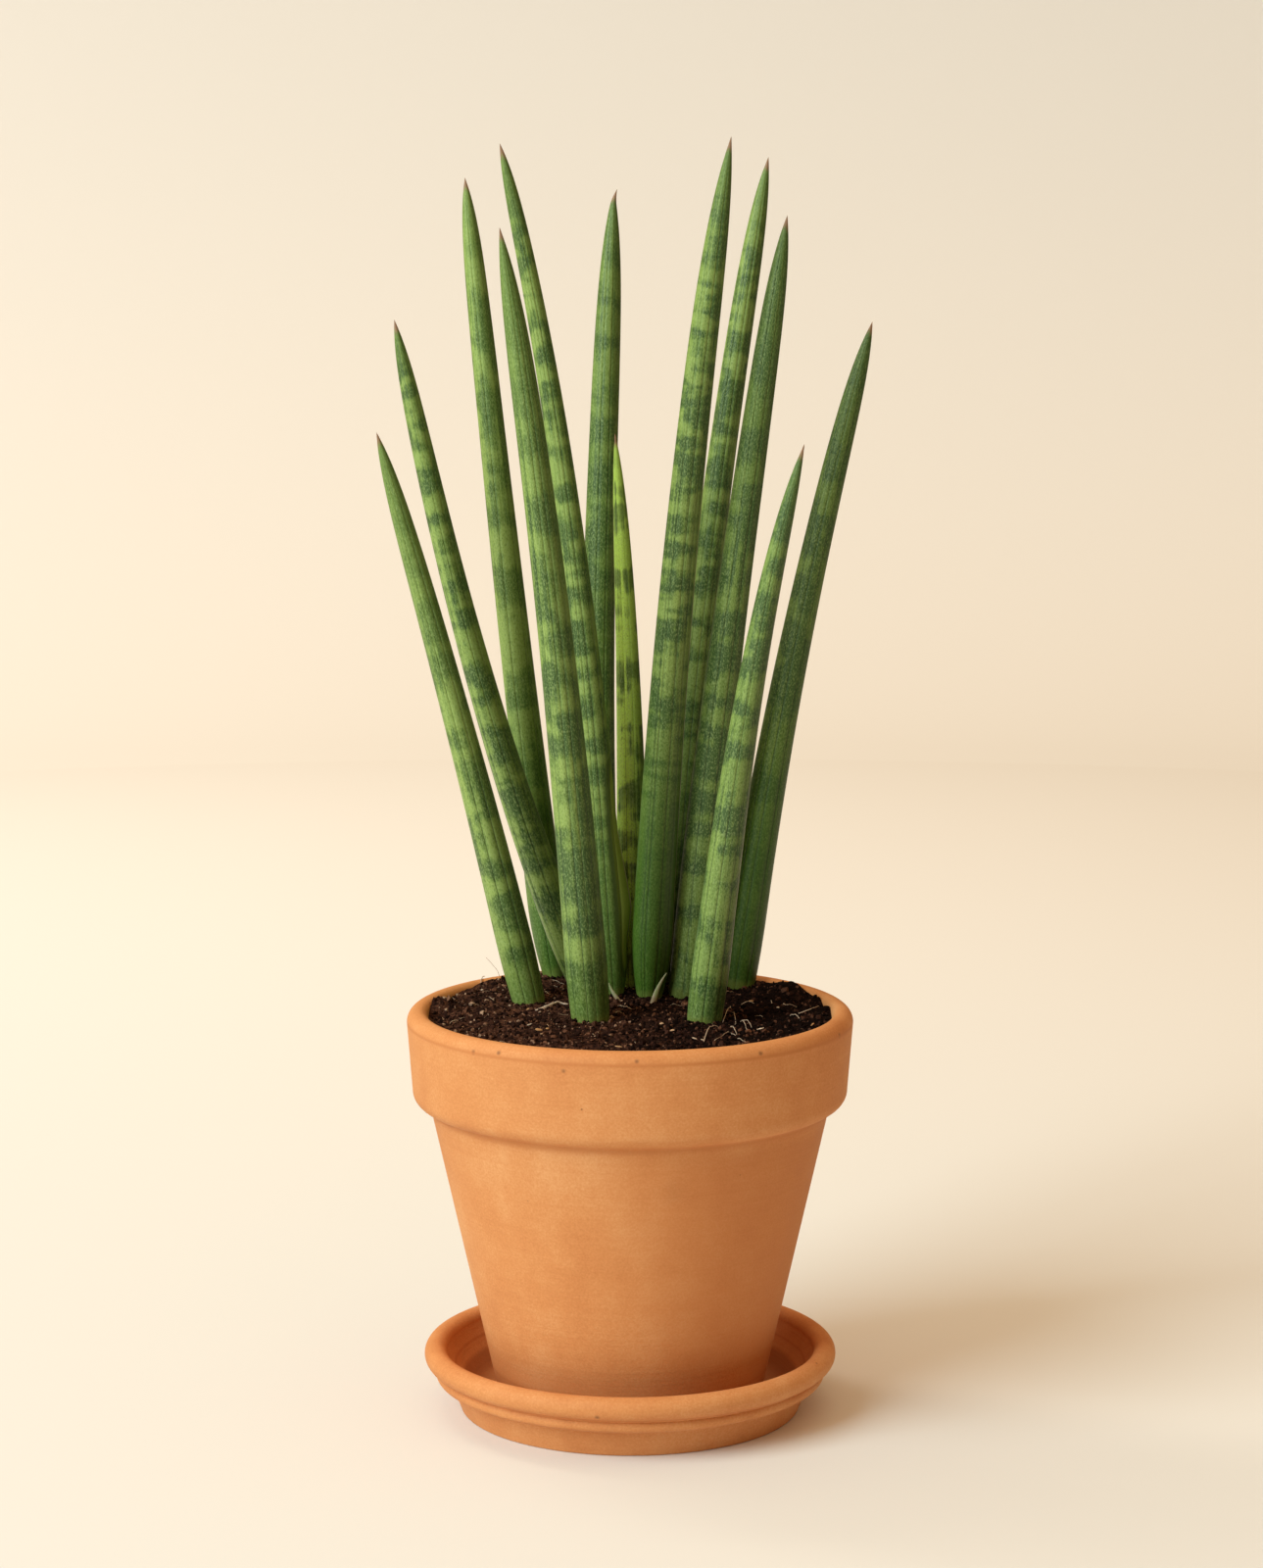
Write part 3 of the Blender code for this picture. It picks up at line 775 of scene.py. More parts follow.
def eased(points, count):
    """Places on a smooth curve through the given points."""
    padded = [points[0] * 2 - points[1], *points, points[-1] * 2 - points[-2]]
    places = []
    for first, second, third, fourth in zip(padded, padded[1:], padded[2:], padded[3:]):
        for index in range(count):
            t = index / count
            bend = (third - first) * t + (first * 2 - second * 5 + third * 4 - fourth) * t**2
            bend += (second * 3 - first - third * 3 + fourth) * t**3
            places.append(second + bend / 2)
    places.append(points[-1])
    return places


# Clay


def saucer_profile(clay):
    """Half section of the saucer from the axis underneath, up the outside and back to the axis."""
    radius = clay.saucer_radius / MM
    roll_centre = (radius - SAUCER_ROLL, SAUCER_HEIGHT - SAUCER_ROLL)
    ring_centre = (radius + SAUCER_RING[0], SAUCER_RING[1])
    foot_radius = radius - SAUCER_FOOT_INSET
    points = [(0.0, 0.0), (foot_radius - SAUCER_FOOT_EDGE, 0.0)]
    points += arc((foot_radius - SAUCER_FOOT_EDGE, SAUCER_FOOT_EDGE), SAUCER_FOOT_EDGE, -60.0, -10.0, 3)
    points.append((radius + SAUCER_STEP[0], SAUCER_STEP[1]))
    points += arc(ring_centre, SAUCER_RING_ROUND, -50.0, 40.0, 10)
    points += arc(roll_centre, SAUCER_ROLL, -70.0, 180.0, 28)
    points += [(SAUCER_FLOOR_RADIUS + out, SAUCER_FLOOR + up) for out, up in reversed(SAUCER_COVE)]
    points.append((SAUCER_FLOOR_RADIUS, SAUCER_FLOOR))
    points.append((0.0, SAUCER_FLOOR))
    return points


def floor_cove(wall, gap):
    """The cove from the pot's wall down to its inner floor, drawn in by a gap."""
    radius = POT_FOOT_RADIUS - wall - gap
    return [(radius + 2.0, INNER_FLOOR + 6.0), (radius - 2.5, INNER_FLOOR + gap)]


def pot_profile(clay):
    """Closed half section of the pot, whose floor has the drain hole at the axis."""
    rim = clay.rim_radius / MM
    wall = clay.wall / MM
    shoulder = rim - SHOULDER_INSET
    lip = rim - LIP_ROUND
    corner_centre = (rim - COLLAR_INSET - COLLAR_CORNER, COLLAR_BOTTOM + COLLAR_CORNER)
    foot_centre = (POT_FOOT_RADIUS - POT_FOOT_EDGE, POT_FOOT + POT_FOOT_EDGE)
    points = [(DRAIN_RADIUS, POT_FOOT)]
    points += arc(foot_centre, POT_FOOT_EDGE, -90.0, 0.0, 6)
    points += [(shoulder + out, COLLAR_BOTTOM + up) for out, up in NECK]
    points += arc(corner_centre, COLLAR_CORNER, -85.0, 0.0, 12)
    points += arc((lip, POT_TOP - LIP_ROUND), LIP_ROUND, 0.0, 90.0, 12)
    points += arc((lip, POT_TOP - INNER_LIP_ROUND), INNER_LIP_ROUND, 90.0, 180.0, 12)[1:]
    points.append((shoulder - wall, INNER_SHOULDER_HEIGHT))
    points += floor_cove(wall, 0.0)
    points.append((DRAIN_RADIUS, INNER_FLOOR))
    return points


# Soil and litter


def soil_bed(clay):
    """The soil as one mesh, with its side against the pot and its loose top."""
    rim = clay.rim_radius / MM
    wall = clay.wall / MM
    profile = [
        (0.0, INNER_FLOOR + SOIL_GAP),
        *reversed(floor_cove(wall, SOIL_GAP)),
        (rim - SHOULDER_INSET - wall - SOIL_GAP, INNER_SHOULDER_HEIGHT),
        (inside_radius(rim, wall, SOIL_WALL_TOP) - SOIL_GAP, SOIL_WALL_TOP),
    ]
    radius = rim - LIP_ROUND - INNER_LIP_ROUND
    while radius > SOIL_RING_STEP:
        profile.append((radius, SOIL_LEVEL))
        radius -= SOIL_RING_STEP
    profile.append((0.0, SOIL_LEVEL))
    mesh_data = turned(profile, SOIL_STEPS)
    for vert in mesh_data.verts:
        if vert.co.z < (SOIL_LEVEL - 0.01) * MM:
            continue
        vert.co.z = soil_top(vert.co.x / MM, vert.co.y / MM) * MM
        reach = inside_radius(rim, wall, vert.co.z / MM) * MM
        if vert.co.xy.length > reach:
            vert.co.xy *= reach / vert.co.xy.length
    return mesh_data


def crumb(mesh_data, tone, rng, x, y, size):
    """Add one uneven crumb at (x, y), half sunk in the soil."""
    turn = Euler([rng.uniform(0.0, math.tau) for _ in range(3)]).to_matrix().to_4x4()
    stretch = Matrix.Diagonal((rng.uniform(0.7, 1.3), rng.uniform(0.7, 1.2), rng.uniform(0.5, 0.9), 1.0))
    sunk = soil_top(x, y) + size * rng.uniform(-0.3, 0.5)
    place = Matrix.Translation(Vector((x, y, sunk)) * MM) @ turn @ stretch
    made = bmesh.ops.create_icosphere(mesh_data, subdivisions=1, radius=size * MM, matrix=place)
    shade = 0.95 * rng.random() ** 2.4
    for vert in made["verts"]:
        vert[tone] = shade
        vert.co += Vector([rng.uniform(-0.22, 0.22) * size * MM for _ in range(3)])


def any_spot(rng, reach):
    """A random place (x, y) within reach of the axis."""
    radius = reach * math.sqrt(rng.random())
    angle = rng.uniform(0.0, math.tau)
    return radius * math.cos(angle), radius * math.sin(angle)


def crumb_spots(soil, clay, rng):
    """Where crumbs lie, as (x, y, size): all over the soil, and pushed up round the leaves' feet."""
    reach = clay.rim_radius / MM - LIP_ROUND - INNER_LIP_ROUND - 1.0
    size = soil.crumb_size / MM
    spots = []
    for _ in range(soil.crumb_count):
        spots.append((*any_spot(rng, reach), size * min(rng.lognormvariate(0.0, 0.5), 3.2)))
    for leaf in LEAVES:
        for _ in range(FOOT_CRUMBS):
            angle = rng.uniform(0.0, math.tau)
            radius = 0.5 * leaf.girth * (1.0 - leaf.waist) + rng.uniform(-0.4, 1.0)
            x = leaf.foot[0] + radius * math.cos(angle)
            y = leaf.foot[1] + radius * math.sin(angle)
            spots.append((x, y, size * rng.uniform(0.8, 1.5)))
    return spots


def soil_crumbs(soil, clay):
    """Loose crumbs, made a batch at a time, because each is slow to add to a large mesh."""
    rng = random.Random(41)
    spots = crumb_spots(soil, clay, rng)
    mesh_data = bmesh.new()
    spare = bpy.data.meshes.new("crumb_batch")
    for start in range(0, len(spots), CRUMB_BATCH):
        batch = bmesh.new()
        tone = batch.verts.layers.float.new("tone")
        for x, y, size in spots[start : start + CRUMB_BATCH]:
            crumb(batch, tone, rng, x, y, size)
        batch.to_mesh(spare)
        batch.free()
        mesh_data.from_mesh(spare)
    bpy.data.meshes.remove(spare)
    return mesh_data


def lying(points, arch):
    """Lift places (x, y) onto the soil, arched in the middle and dipped in at both ends."""
    curve = eased([Vector((x, y, 0.0)) for x, y in points], 6)
    for index, point in enumerate(curve):
        t = index / (len(curve) - 1)
        point.z = soil_top(point.x, point.y) + arch * math.sin(math.pi * t) ** 0.7 - 0.25
    return curve


def tapered(count, thick, thin):
    """Radii of a strand with its thick end first."""
    return [thick + (thin - thick) * (index / (count - 1)) ** 1.5 for index in range(count)]


def root_fibres(litter, clay):
    """The pale root fibres on the soil and the single hair at the back left."""
    rng = random.Random(7)
    mesh_data = bmesh.new()
    thick = litter.fibre_thickness / MM / 2
    for points, arch in FIBRES:
        curve = lying(points, arch)
        swept(mesh_data, curve, tapered(len(curve), thick, thick * 0.45))
    reach = clay.rim_radius / MM - 14.0
    for _ in range(litter.fibre_count):
        points = [Vector(any_spot(rng, reach))]
        heading = rng.uniform(0.0, math.tau)
        for _ in range(2):
            heading += rng.uniform(-0.7, 0.7)
            points.append(points[-1] + Vector((math.cos(heading), math.sin(heading))) * rng.uniform(2.0, 4.5))
        curve = lying(points, rng.uniform(0.1, 0.9))
        swept(mesh_data, curve, tapered(len(curve), thick * rng.uniform(0.45, 0.8), thick * 0.3))
    hair = eased([Vector(point) for point in HAIR], 5)
    swept(mesh_data, hair, tapered(len(hair), thick * 0.35, thick * 0.55))
    return mesh_data


def bark_and_twig():
    """Bark chips lying on the soil, and one bleached twig."""
    rng = random.Random(19)
    # Without a seed of its own, noise_vector follows the clock.
    noise.seed_set(19)
    mesh_data = bmesh.new()
    tone = mesh_data.verts.layers.float.new("tone")
    for x, y, length, width, turn, pale in CHIPS:
        tilt = Euler((rng.uniform(-0.4, 0.4), rng.uniform(-0.4, 0.4), math.radians(turn)))
        size = Matrix.Diagonal((length, width, 0.35 * width + 0.25, 1.0))
        lift = Matrix.Translation(Vector((x, y, soil_top(x, y) + 0.35)) * MM)
        place = lift @ tilt.to_matrix().to_4x4() @ size
        made = bmesh.ops.create_icosphere(mesh_data, subdivisions=2, radius=0.5 * MM, matrix=place)
        for vert in made["verts"]:
            vert[tone] = pale
            vert.co += noise.noise_vector(vert.co / MM * 1.3) * 0.14 * width * MM
    curve = lying(TWIG, 0.9)
    for vert in swept(mesh_data, curve, tapered(len(curve), 0.7, 0.25), sides=8):
        vert[tone] = 0.95
        vert.co += noise.noise_vector(vert.co / MM * 0.8) * 0.15 * MM
    return mesh_data


# Leaves


def leaf_point(leaf, t):
    """Centre of the leaf at t, 0 at the soil and 1 at the tip."""
    foot = Vector((*leaf.foot, soil_height(*leaf.foot)))
    point = foot.lerp(Vector(leaf.tip), t)
    if t > 0.0:
        point.x += leaf.bow * 4.0 * t * (1.0 - t)
        point.x += leaf.sway * 10.0 * t * (1.0 - t) * (1.0 - 2.0 * t)
    else:
        point.x += (4.0 * leaf.bow + 10.0 * leaf.sway) * t
    return point


def leaf_length(leaf):
    """Straight length from the soil to the tip."""
    return (leaf_point(leaf, 1.0) - leaf_point(leaf, 0.0)).length


def leaf_radius(leaf, t):
    """Radius at t: a quick rise from the point, a slow one down to the foot, and the narrowed foot."""
    length = leaf_length(leaf)
    if t < 0.0:
        return leaf_radius(leaf, 0.0) * (1.0 + BURIED_TAPER * t * length / LEAF_DEPTH)
    from_tip = length * (1.0 - t)
    swell = leaf.blunt * (1.0 - math.exp(-from_tip / leaf.point)) + (1.0 - leaf.blunt) * from_tip / length
    near_foot = max(0.0, 1.0 - t * length / WAIST_HEIGHT)
    radius = 0.5 * leaf.girth * swell * (1.0 - leaf.waist * near_foot**2)
    return max(radius, TIP_RADIUS * min(1.0, from_tip / 1.5))


@lru_cache(maxsize=None)
def spine(leaf, t):
    """The leaf's centre, the turn that stands a ring square to it, and its radius at t."""
    centre = leaf_point(leaf, t)
    ahead = leaf_point(leaf, min(t + 0.01, 1.0))
    direction = (ahead - leaf_point(leaf, t - 0.01)).normalized()
    from_tip = leaf_length(leaf) * (1.0 - t)
    centre.x += leaf.curl * max(0.0, 1.0 - from_tip / CURL_LENGTH) ** 2
    turn = Vector((0.0, 0.0, 1.0)).rotation_difference(direction).to_matrix()
    return centre, turn, leaf_radius(leaf, t)


def sheath_reach(leaf, height):
    """How far the clasping edge stands out at a height, and how strongly it is coloured."""
    above = height - SHEATH_HEIGHT
    span = SHEATH_ABOVE if above > 0.0 else SHEATH_BELOW
    return leaf.sheath * max(0.0, 1.0 - abs(above) / span), min(1.0, max(0.0, 2.0 - abs(above) / span))


def leaf_levels(leaf, rings):
    """Values of t for the leaf's rings, from below the soil and closer together towards the tip."""
    start = -LEAF_DEPTH / leaf_length(leaf)
    levels = [start, start / 2]
    for index in range(rings):
        along = index / (rings - 1)
        levels.append(1.0 - (1.0 - along) ** RING_CROWDING)
    return levels


def leaf_lines(leaf, number):
    """Angles of all grooves in degrees from the front: the seen ones and a few on the back."""
    rng = random.Random(number)
    back = [start + rng.uniform(-9.0, 9.0) for start in (105.0, 145.0, 185.0, 225.0, 260.0)]
    return [*leaf.grooves, *back]


def apart(first, second):
    """Angle between two directions in degrees."""
    return abs((first - second + 180.0) % 360.0 - 180.0)


def leaf_sides(lines):
    """Angles of the leaf's sides in degrees: three to each line, and plain ones between."""
    sides = []
    for line in lines:
        sides += [line - GROOVE_HALF_WIDTH, line, line + GROOVE_HALF_WIDTH]
    for index in range(int(360 / PLAIN_SIDE)):
        angle = index * PLAIN_SIDE - 90.0
        if all(apart(angle, side) > 0.5 * PLAIN_SIDE for side in sides):
            sides.append(angle)
    return sorted(side % 360.0 for side in sides)


def straight_tube(sides, levels):
    """An open tube of radius 1 up the Z axis, with a side at each angle and a ring at each level."""
    mesh_data = turned([(1.0 / MM, level / MM) for level in levels], len(sides))
    for vert in mesh_data.verts:
        index = round(math.atan2(vert.co.y, vert.co.x) / math.tau * len(sides)) % len(sides)
        angle = math.radians(sides[index])
        vert.co.xy = (math.cos(angle), math.sin(angle))
    return mesh_data


def nearness(angle, lines):
    """1 on a line, falling to 0 at its edges. Angles are in degrees from the front."""
    return max(0.0, 1.0 - min(apart(angle, line) for line in lines) / GROOVE_HALF_WIDTH)


def grow_leaf(leaf, number, leaves):
    """A leaf's mesh, with what its skin reads: its straightened place, its ends and its lines."""
    grooves = leaf_lines(leaf, number)
    margins = [] if leaf.margin is None else [leaf.margin]
    levels = leaf_levels(leaf, leaves.rings)
    level_of = {round(level, 4): level for level in levels}
    mesh_data = straight_tube(leaf_sides(grooves + margins), levels)
    layers = mesh_data.verts.layers
    straight = layers.float_vector.new("straight")
    ends = layers.float_vector.new("ends")
    groove = layers.float.new("groove")
    margin = layers.float.new("margin")
    membrane = layers.float.new("membrane")
    length = leaf_length(leaf)
    depth = leaves.groove_depth / MM
    for vert in mesh_data.verts:
        level = level_of[round(vert.co.z, 4)]
        centre, turn, radius = spine(leaf, level)
        angle = math.degrees(math.atan2(vert.co.y, vert.co.x))
        along = level * length
        vert[groove] = nearness(angle, grooves)
        vert[margin] = nearness(angle, margins) if margins else 0.0
        twist = sum(turn_by * math.sin(along / over + start * number) for turn_by, over, start in TWISTS)
        around = FRONT + math.radians(angle + twist)
        outward = Vector((math.cos(around), math.sin(around), 0.0))
        ripple = noise.noise(Vector((3.0 * outward.x, 3.0 * outward.y, along / 60.0 + 9.0 * number)))
        keep = min(1.0, radius / 6.0)
        skin = radius - keep * (depth * vert[groove] - RIPPLE * ripple)
        place = centre + turn @ (outward * skin)
        edge = max(0.0, outward.x) ** SHEATH_SHARPNESS
        reach, tint = sheath_reach(leaf, centre.z)
        place.x += reach * edge
        vert[membrane] = edge * tint if leaf.sheath else 0.0
        girth = 0.5 * leaf.girth
        vert[straight] = Vector((outward.x * girth, outward.y * girth, along + SKIN_SHIFT * number)) * MM
        vert[ends] = Vector((length - along, along, 0.0)) * MM
        vert.co = place * MM
    bmesh.ops.holes_fill(mesh_data, edges=mesh_data.edges, sides=0)
    return mesh_data


def grow_scale(scale):
    """A thin strip that rises from its foot in the soil to its point."""
    mesh_data = bmesh.new()
    foot = Vector((*scale.foot, soil_height(*scale.foot)))
    lean = Vector(scale.lean)
    rings = []
    for index in range(SCALE_RINGS):
        t = index / (SCALE_RINGS - 1)
        centre = foot + lean * t
        centre.x += scale.bow * 4.0 * t * (1.0 - t)
        if index == 0:
            centre -= lean.normalized() * SCALE_DEPTH
        width = scale.width + (SCALE_TIP_WIDTH - scale.width) * t**1.4
        size = Matrix.Diagonal((width, SCALE_THICKNESS * (1.0 - 0.5 * t), 1.0, 1.0))
        place = Matrix.Translation(centre * MM) @ size
        made = bmesh.ops.create_circle(mesh_data, segments=SCALE_SIDES, radius=0.5 * MM, matrix=place)
        for vert in made["verts"]:
            vert.co.y += SCALE_CUP * MM * ((vert.co.x / MM - centre.x) / scale.width * 2.0) ** 2
        rings.append(made["verts"])
    join_rings(mesh_data, rings)
    return mesh_data


# Settings


def setting(name, description, default, unit="NONE", least=0):
    """A property for a colour, a whole number, or an amount in its unit, whichever its default is."""
    shared = {"name": name, "description": description, "default": default, "min": least}
    if isinstance(default, tuple):
        return FloatVectorProperty(size=3, max=1.0, subtype="COLOR", **shared)
    if isinstance(default, int):
        return IntProperty(**shared)
    return FloatProperty(unit=unit, precision=4, **shared)


class ClaySettings(PropertyGroup):
    """Sizes and colours of the pot and its saucer."""

    rim_radius: setting("Rim radius", "Radius of the pot across its rim", POT_BOX[1].x, "LENGTH")
    wall: setting("Wall", "Thickness of the pot's wall", 7.0 * MM, "LENGTH")
    saucer_radius: setting("Saucer radius", "Radius of the saucer across its rim", SAUCER_BOX[1].x, "LENGTH")
    turn_steps: setting("Turning steps", "Faces round the clay", 240, least=16)
    roughness: setting("Roughness", "How matt the clay is", 0.72)
    clay_color: setting("Clay", "Main colour of the fired clay", (0.673, 0.270, 0.090))
    pale_color: setting("Pale clay", "Colour of dusty and pale patches", (0.77, 0.378, 0.158))
    # Also the colour of the painted shade lines and of the painted shade on the right of the pot.
    burnt_and_painted_shade_color: setting("Burnt clay", "Colour of the harder fired patches", (0.57, 0.196, 0.057))
    # Colour of the painted shade in the saucer round the pot's foot.
    saucer_painted_shade_color: setting("Water stain", "Colour of the damp clay in the saucer", (0.42, 0.135, 0.036))
    # Burnt smudges are the clay's own colour; in the pinholes this colour is painted shade.
    smudge_and_pinhole_shade_color: setting("Smudges", "Colour of burnt smudges and pinholes", (0.20, 0.075, 0.03))


class SoilSettings(PropertyGroup):
    """Amount and colours of the soil."""

    crumb_count: setting("Crumbs", "Loose crumbs on the soil", 8600)
    crumb_size: setting("Crumb size", "Usual radius of a crumb", 0.48 * MM, "LENGTH")
    # The dark and light soil colours are partly painted shade in the gaps and painted highlight on the clods.
    dark_color: setting("Dark soil", "Colour in the hollows", (0.006, 0.0022, 0.0014))
    brown_color: setting("Brown soil", "Main colour of the soil", (0.040, 0.0150, 0.0095))
    light_color: setting("Light soil", "Colour of the lighter crumbs", (0.16, 0.068, 0.038))
    speck_color: setting("Specks", "Colour of the pale specks", (0.38, 0.24, 0.16))


class LitterSettings(PropertyGroup):
    """Fibres, bark and the twig on the soil."""

    fibre_count: setting("Small fibres", "Short roots strewn at random", 46)
    fibre_thickness: setting("Fibre thickness", "Thickness of a root fibre", 0.38 * MM, "LENGTH")
    root_color: setting("Root", "Colour of the root fibres", (0.52, 0.38, 0.27))
    root_brown_color: setting("Brown root", "Colour of the browned stretches", (0.19, 0.10, 0.055))
    bark_color: setting("Bark", "Colour of dark bark", (0.12, 0.055, 0.025))
    tan_color: setting("Tan bark", "Colour of fresh bark", (0.50, 0.26, 0.11))
    pale_color: setting("Bleached wood", "Colour of the twig and the palest bits", (0.60, 0.46, 0.35))


class LeafSettings(PropertyGroup):
    """Detail and colours of the leaves."""

    rings: setting("Rings", "Rings along each leaf", 150, least=12)
    groove_depth: setting("Groove depth", "Depth of the grooves along a leaf", 0.22 * MM, "LENGTH")
    roughness: setting("Roughness", "How matt the skin is", 0.5)
    dark_color: setting("Pores", "Colour of the fine dark grain", (0.022, 0.042, 0.004))
    deep_color: setting("Dark bands", "Colour of the dark cross-bands", (0.054, 0.110, 0.024))
    mid_color: setting("Leaf green", "Colour between the bands", (0.136, 0.222, 0.041))
    light_color: setting("Light bands", "Colour of the light cross-bands", (0.290, 0.405, 0.092))
    fleck_color: setting("Flecks", "Colour of the fine light flecks", (0.35, 0.455, 0.16))
    groove_color: setting("Grooves", "Colour inside the grooves", (0.010, 0.026, 0.008))
    foot_color: setting("Foot", "Colour where a leaf meets the soil", (0.20, 0.24, 0.045))
    tip_color: setting("Dry point", "Colour of the dry points", (0.30, 0.17, 0.095))
    margin_color: setting("Margin", "Colour of the papery margins", (0.46, 0.38, 0.27))
    # Partly painted shade low on the leaves that stand behind or beside others.
    low_color: setting("Low part", "Deep, plain green low on some leaves", (0.046, 0.122, 0.003))
    # Painted shade laid on the right side of each leaf.
    painted_shade_color: setting("Shaded side", "Deeper green away from the light", (0.012, 0.052, 0.003))
    # The young leaf's paler skin, brightened as painted light.
    young_painted_light_color: setting("Young leaf", "Colour of the youngest leaf", (0.62, 0.90, 0.14))
    # Painted shade in the sheath's channel.
    channel_color: setting("Sheath channel", "Colour beside the sheath's edge", (0.045, 0.075, 0.008))
    # The sheath edge's own pale colour with painted light through it.
    membrane_and_painted_light_color: setting("Sheath edge", "Colour of the thin clasping edge", (0.17, 0.23, 0.03))
    scale_color: setting("Basal scale", "Colour of the basal scales", (0.27, 0.33, 0.13))


class StageSettings(PropertyGroup):
    """Backdrop and lights."""

    backdrop_color: setting("Backdrop", "Colour of the paper", (0.82, 0.81, 0.80))
    backdrop_shade: setting("Backdrop shade", "Colour of its faint clouds", (0.80, 0.79, 0.78))
    bowl_radius: setting("Backdrop radius", "How far off the paper rises", 3.2, "LENGTH")
    key_power: setting("Key light", "Power of the soft light at the front left", 107.0, "POWER")
    key_color: setting("Key colour", "Colour of the light at the front left", (0.83, 0.99, 1.0))
    back_power: setting("Back light", "Power of the light on the paper", 25.5, "POWER")
    back_color: setting("Back colour", "Colour of the light on the paper", (1.0, 0.935, 0.80))
    fill_strength: setting("Fill", "Strength of the light all round", 0.625)
    fill_color: setting("Fill colour", "Colour of the light all round", (1.0, 0.692, 0.392))


# Operators


def studio_sky(stage):
    """The light all round, weak at the level of the floor and strongest overhead."""
    sky = bpy.data.worlds.new("studio_sky")
    sky.use_nodes = True
    nodes = Nodes(sky.node_tree)
    background = sky.node_tree.nodes["Background"]
    climb = nodes.part(nodes.node("ShaderNodeTexCoord", output="Generated"), "Z")
    nodes.feed(background.inputs["Color"], stage.fill_color)
    nodes.feed(background.inputs["Strength"], stage.fill_strength * (SKY_LEVEL + SKY_CLIMB * climb * climb))
    return sky


def soft_light(name, setup, power, color):
    """Add an area light that the camera doesn't see."""
    place, aim, width, height = setup
    light = bpy.data.lights.new(name, "AREA")
    light.shape = "RECTANGLE"
    light.size = width
    light.size_y = height
    light.energy = power
    light.color = color
    lamp = bpy.data.objects.new(name, light)
    lamp.location = place
    lamp.rotation_euler = (Vector(aim) - Vector(place)).to_track_quat("-Z", "Y").to_euler()
    lamp.visible_camera = False
    bpy.context.scene.collection.objects.link(lamp)


class SNAKEPLANT_OT_add_stage(Operator):
    """Set up the seamless paper, the soft lights and the camera."""

    bl_idname = "snake_plant.add_stage"
    bl_label = "Add Stage"

    def execute(self, context):
        stage = context.scene.snake_plant_stage
        radius = stage.bowl_radius / MM
        bend = BACKDROP_BEND / MM
        flat = radius - bend
        paper = paper_backdrop(stage)
        floor = make_piece("backdrop_floor", turned([(0.0, 0.0), (0.25 * flat, 0.0), (flat, 0.0)], 96), paper)
        profile = [(flat, 0.0), *arc((flat, bend), bend, -86.0, 0.0, 24), (radius, BACKDROP_HEIGHT / MM)]
        wall = make_piece("backdrop_wall", turned(profile, 96), paper)
        wall.visible_diffuse = wall.visible_glossy = wall.visible_shadow = False
        for sheet in (floor, wall):
            sheet.data.flip_normals()

        soft_light("key_light", KEY_LIGHT, stage.key_power, stage.key_color)
        soft_light("back_light", BACK_LIGHT, stage.back_power, stage.back_color)

        context.scene.world = studio_sky(stage)
        context.scene.view_settings.view_transform = "Standard"

        lens = bpy.data.cameras.new("camera")
        lens.lens = CAMERA_LENS
        camera = bpy.data.objects.new("camera", lens)
        camera.location = CAMERA_PLACE
        camera.rotation_euler = (math.radians(90.0 - CAMERA_PITCH), 0.0, 0.0)
        context.scene.collection.objects.link(camera)
        context.scene.camera = camera
        return {"FINISHED"}


class SNAKEPLANT_OT_turn_clay(Operator):
    """Turn the saucer and the pot."""

    bl_idname = "snake_plant.turn_clay"
    bl_label = "Turn Pot and Saucer"

    def execute(self, context):
        clay = context.scene.snake_plant_clay
        surface = fired_clay("fired_clay", clay)
        for name, node, profile, closed in (
            ("turned_saucer", "saucer", saucer_profile(clay), False),
            ("turned_pot", "pot", pot_profile(clay), True),
        ):
            mesh_data = turned(profile, clay.turn_steps, closed)
            hand_turn(mesh_data)
            dress(make_piece(name, mesh_data, surface), "terracotta", node)
        return {"FINISHED"}


class SNAKEPLANT_OT_fill_soil(Operator):
    """Fill the pot with soil and strew loose crumbs on it."""

    bl_idname = "snake_plant.fill_soil"
    bl_label = "Fill Soil"

    def execute(self, context):
        clay = context.scene.snake_plant_clay
        soil = context.scene.snake_plant_soil
        dress(make_piece("soil_bed", soil_bed(clay), potting_soil(soil)), "soil", "soil")
        dress(make_piece("soil_crumbs", soil_crumbs(soil, clay), soil_crumb_finish(soil)), "soil")
        return {"FINISHED"}


class SNAKEPLANT_OT_strew_litter(Operator):
    """Lay bark chips, a twig, root fibres and a hair on the soil."""

    bl_idname = "snake_plant.strew_litter"
    bl_label = "Strew Litter"

    def execute(self, context):
        clay = context.scene.snake_plant_clay
        litter = context.scene.snake_plant_litter
        dress(make_piece("bark_and_twig", bark_and_twig(), dry_litter(litter)), "dry_scale")
        dress(make_piece("root_fibres", root_fibres(litter, clay), root_fibre_finish(litter)), "dry_scale")
        return {"FINISHED"}


class SNAKEPLANT_OT_grow_leaves(Operator):
    """Grow the twelve round leaves."""

    bl_idname = "snake_plant.grow_leaves"
    bl_label = "Grow Leaves"

    def execute(self, context):
        leaves = context.scene.snake_plant_leaves
        for number, leaf in enumerate(LEAVES, start=1):
            node = f"leaf_{number:02d}"
            skin = leaf_skin(f"{node}_skin", leaf, leaves)
            dress(make_piece(f"grown_{node}", grow_leaf(leaf, number, leaves), skin, 60.0), "leaf", node)
        return {"FINISHED"}


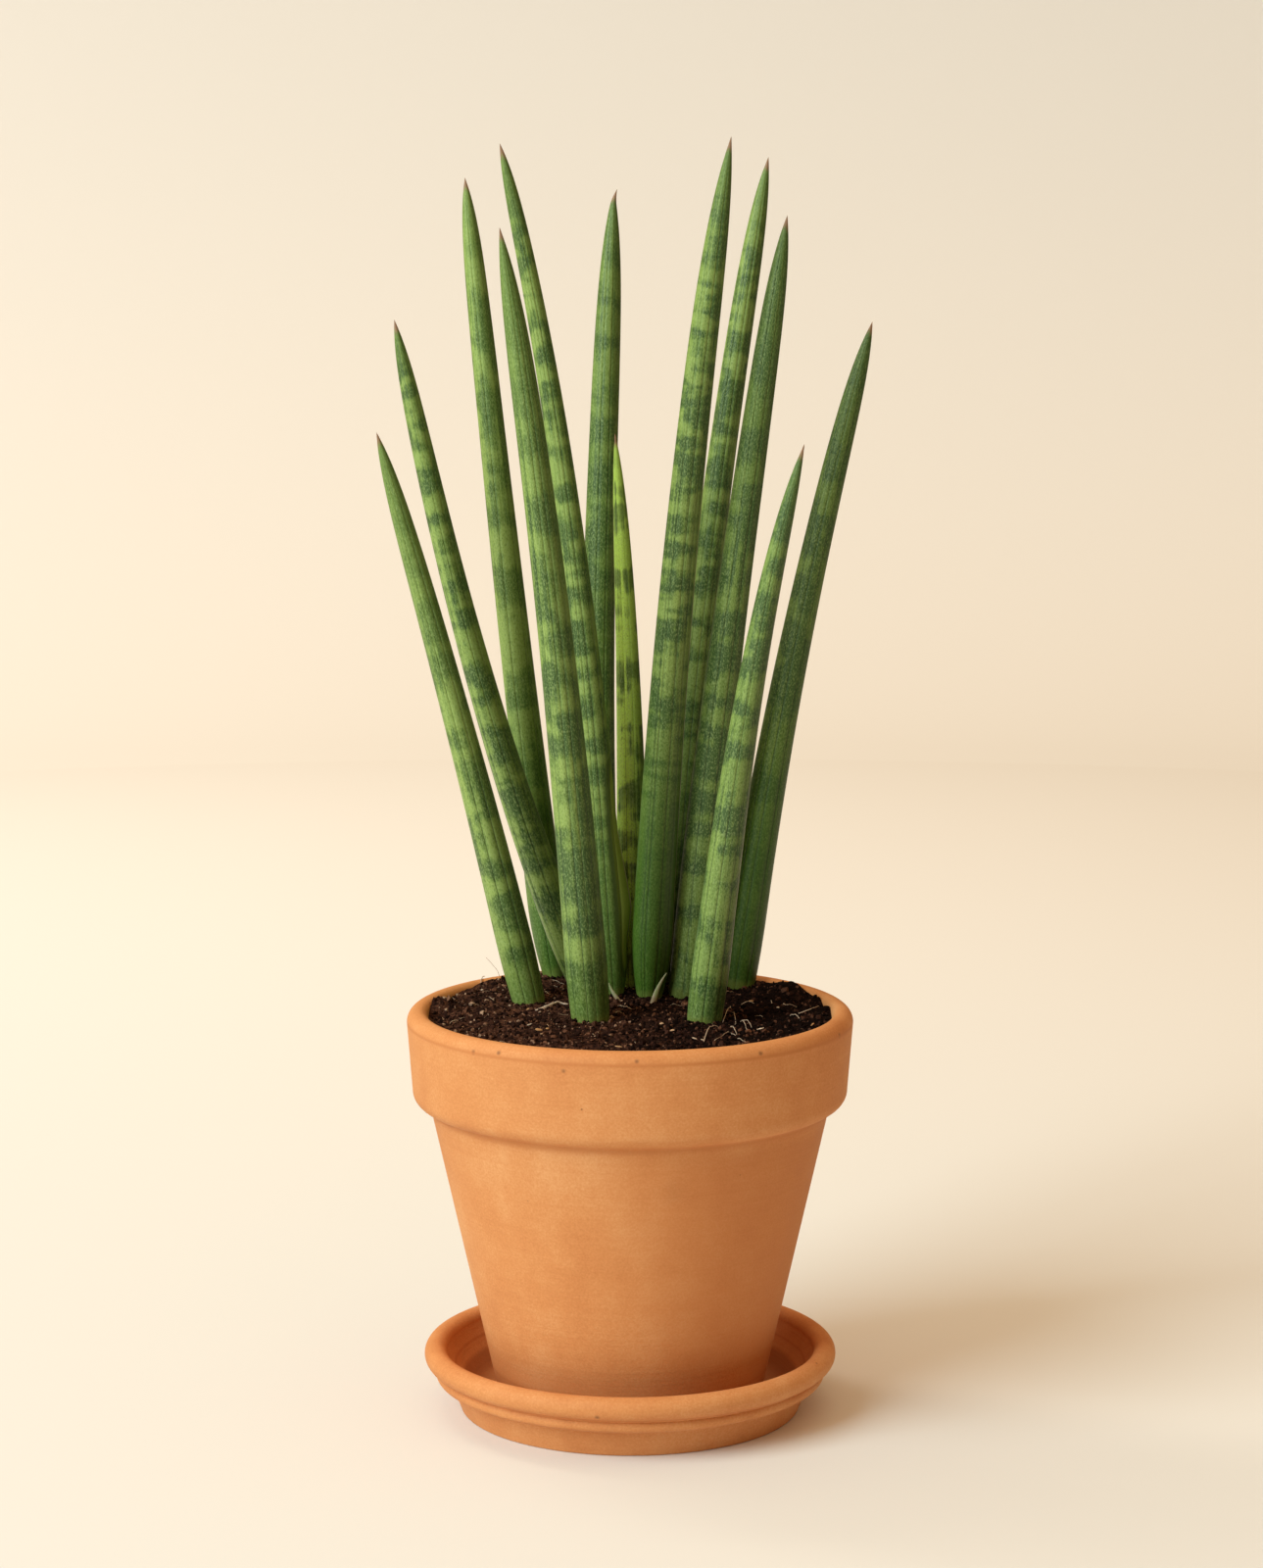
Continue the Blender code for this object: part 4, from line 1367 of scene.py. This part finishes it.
class SNAKEPLANT_OT_add_basal_scales(Operator):
    """Stand the two dry basal scales in the soil."""

    bl_idname = "snake_plant.add_basal_scales"
    bl_label = "Add Basal Scales"

    def execute(self, context):
        surface = dry_scale_finish(context.scene.snake_plant_leaves)
        for scale in SCALES:
            dress(make_piece(f"dry_{scale.name}", grow_scale(scale), surface, 60.0), "dry_scale", scale.name)
        return {"FINISHED"}


class SNAKEPLANT_PT_sidebar(Panel):
    """The plant's pieces and settings in the sidebar."""

    bl_idname = "SNAKEPLANT_PT_sidebar"
    bl_label = "Snake Plant"
    bl_space_type = "VIEW_3D"
    bl_region_type = "UI"
    bl_category = "Snake Plant"

    def draw(self, context):
        for group, operators in BUILD_ORDER:
            box = self.layout.box()
            settings = getattr(context.scene, group)
            for operator in operators:
                box.operator(operator.bl_idname)
            for name in settings.__annotations__:
                box.prop(settings, name)


SETTINGS = {
    "snake_plant_stage": StageSettings,
    "snake_plant_clay": ClaySettings,
    "snake_plant_soil": SoilSettings,
    "snake_plant_litter": LitterSettings,
    "snake_plant_leaves": LeafSettings,
}

# Each group of settings with the operators that use it, in the order in which they are run.
BUILD_ORDER = (
    ("snake_plant_stage", (SNAKEPLANT_OT_add_stage,)),
    ("snake_plant_clay", (SNAKEPLANT_OT_turn_clay,)),
    ("snake_plant_soil", (SNAKEPLANT_OT_fill_soil,)),
    ("snake_plant_litter", (SNAKEPLANT_OT_strew_litter,)),
    ("snake_plant_leaves", (SNAKEPLANT_OT_grow_leaves, SNAKEPLANT_OT_add_basal_scales)),
)
CLASSES = (
    *SETTINGS.values(),
    *(operator for group, operators in BUILD_ORDER for operator in operators),
    SNAKEPLANT_PT_sidebar,
)


def register():
    for kind in CLASSES:
        bpy.utils.register_class(kind)
    for name, kind in SETTINGS.items():
        setattr(bpy.types.Scene, name, PointerProperty(type=kind))


def unregister():
    for name in SETTINGS:
        delattr(bpy.types.Scene, name)
    for kind in reversed(CLASSES):
        bpy.utils.unregister_class(kind)


def main():
    register()
    bpy.ops.snake_plant.add_stage()
    bpy.ops.snake_plant.turn_clay()
    bpy.ops.snake_plant.fill_soil()
    bpy.ops.snake_plant.strew_litter()
    bpy.ops.snake_plant.grow_leaves()
    bpy.ops.snake_plant.add_basal_scales()


if __name__ == "__main__":
    main()
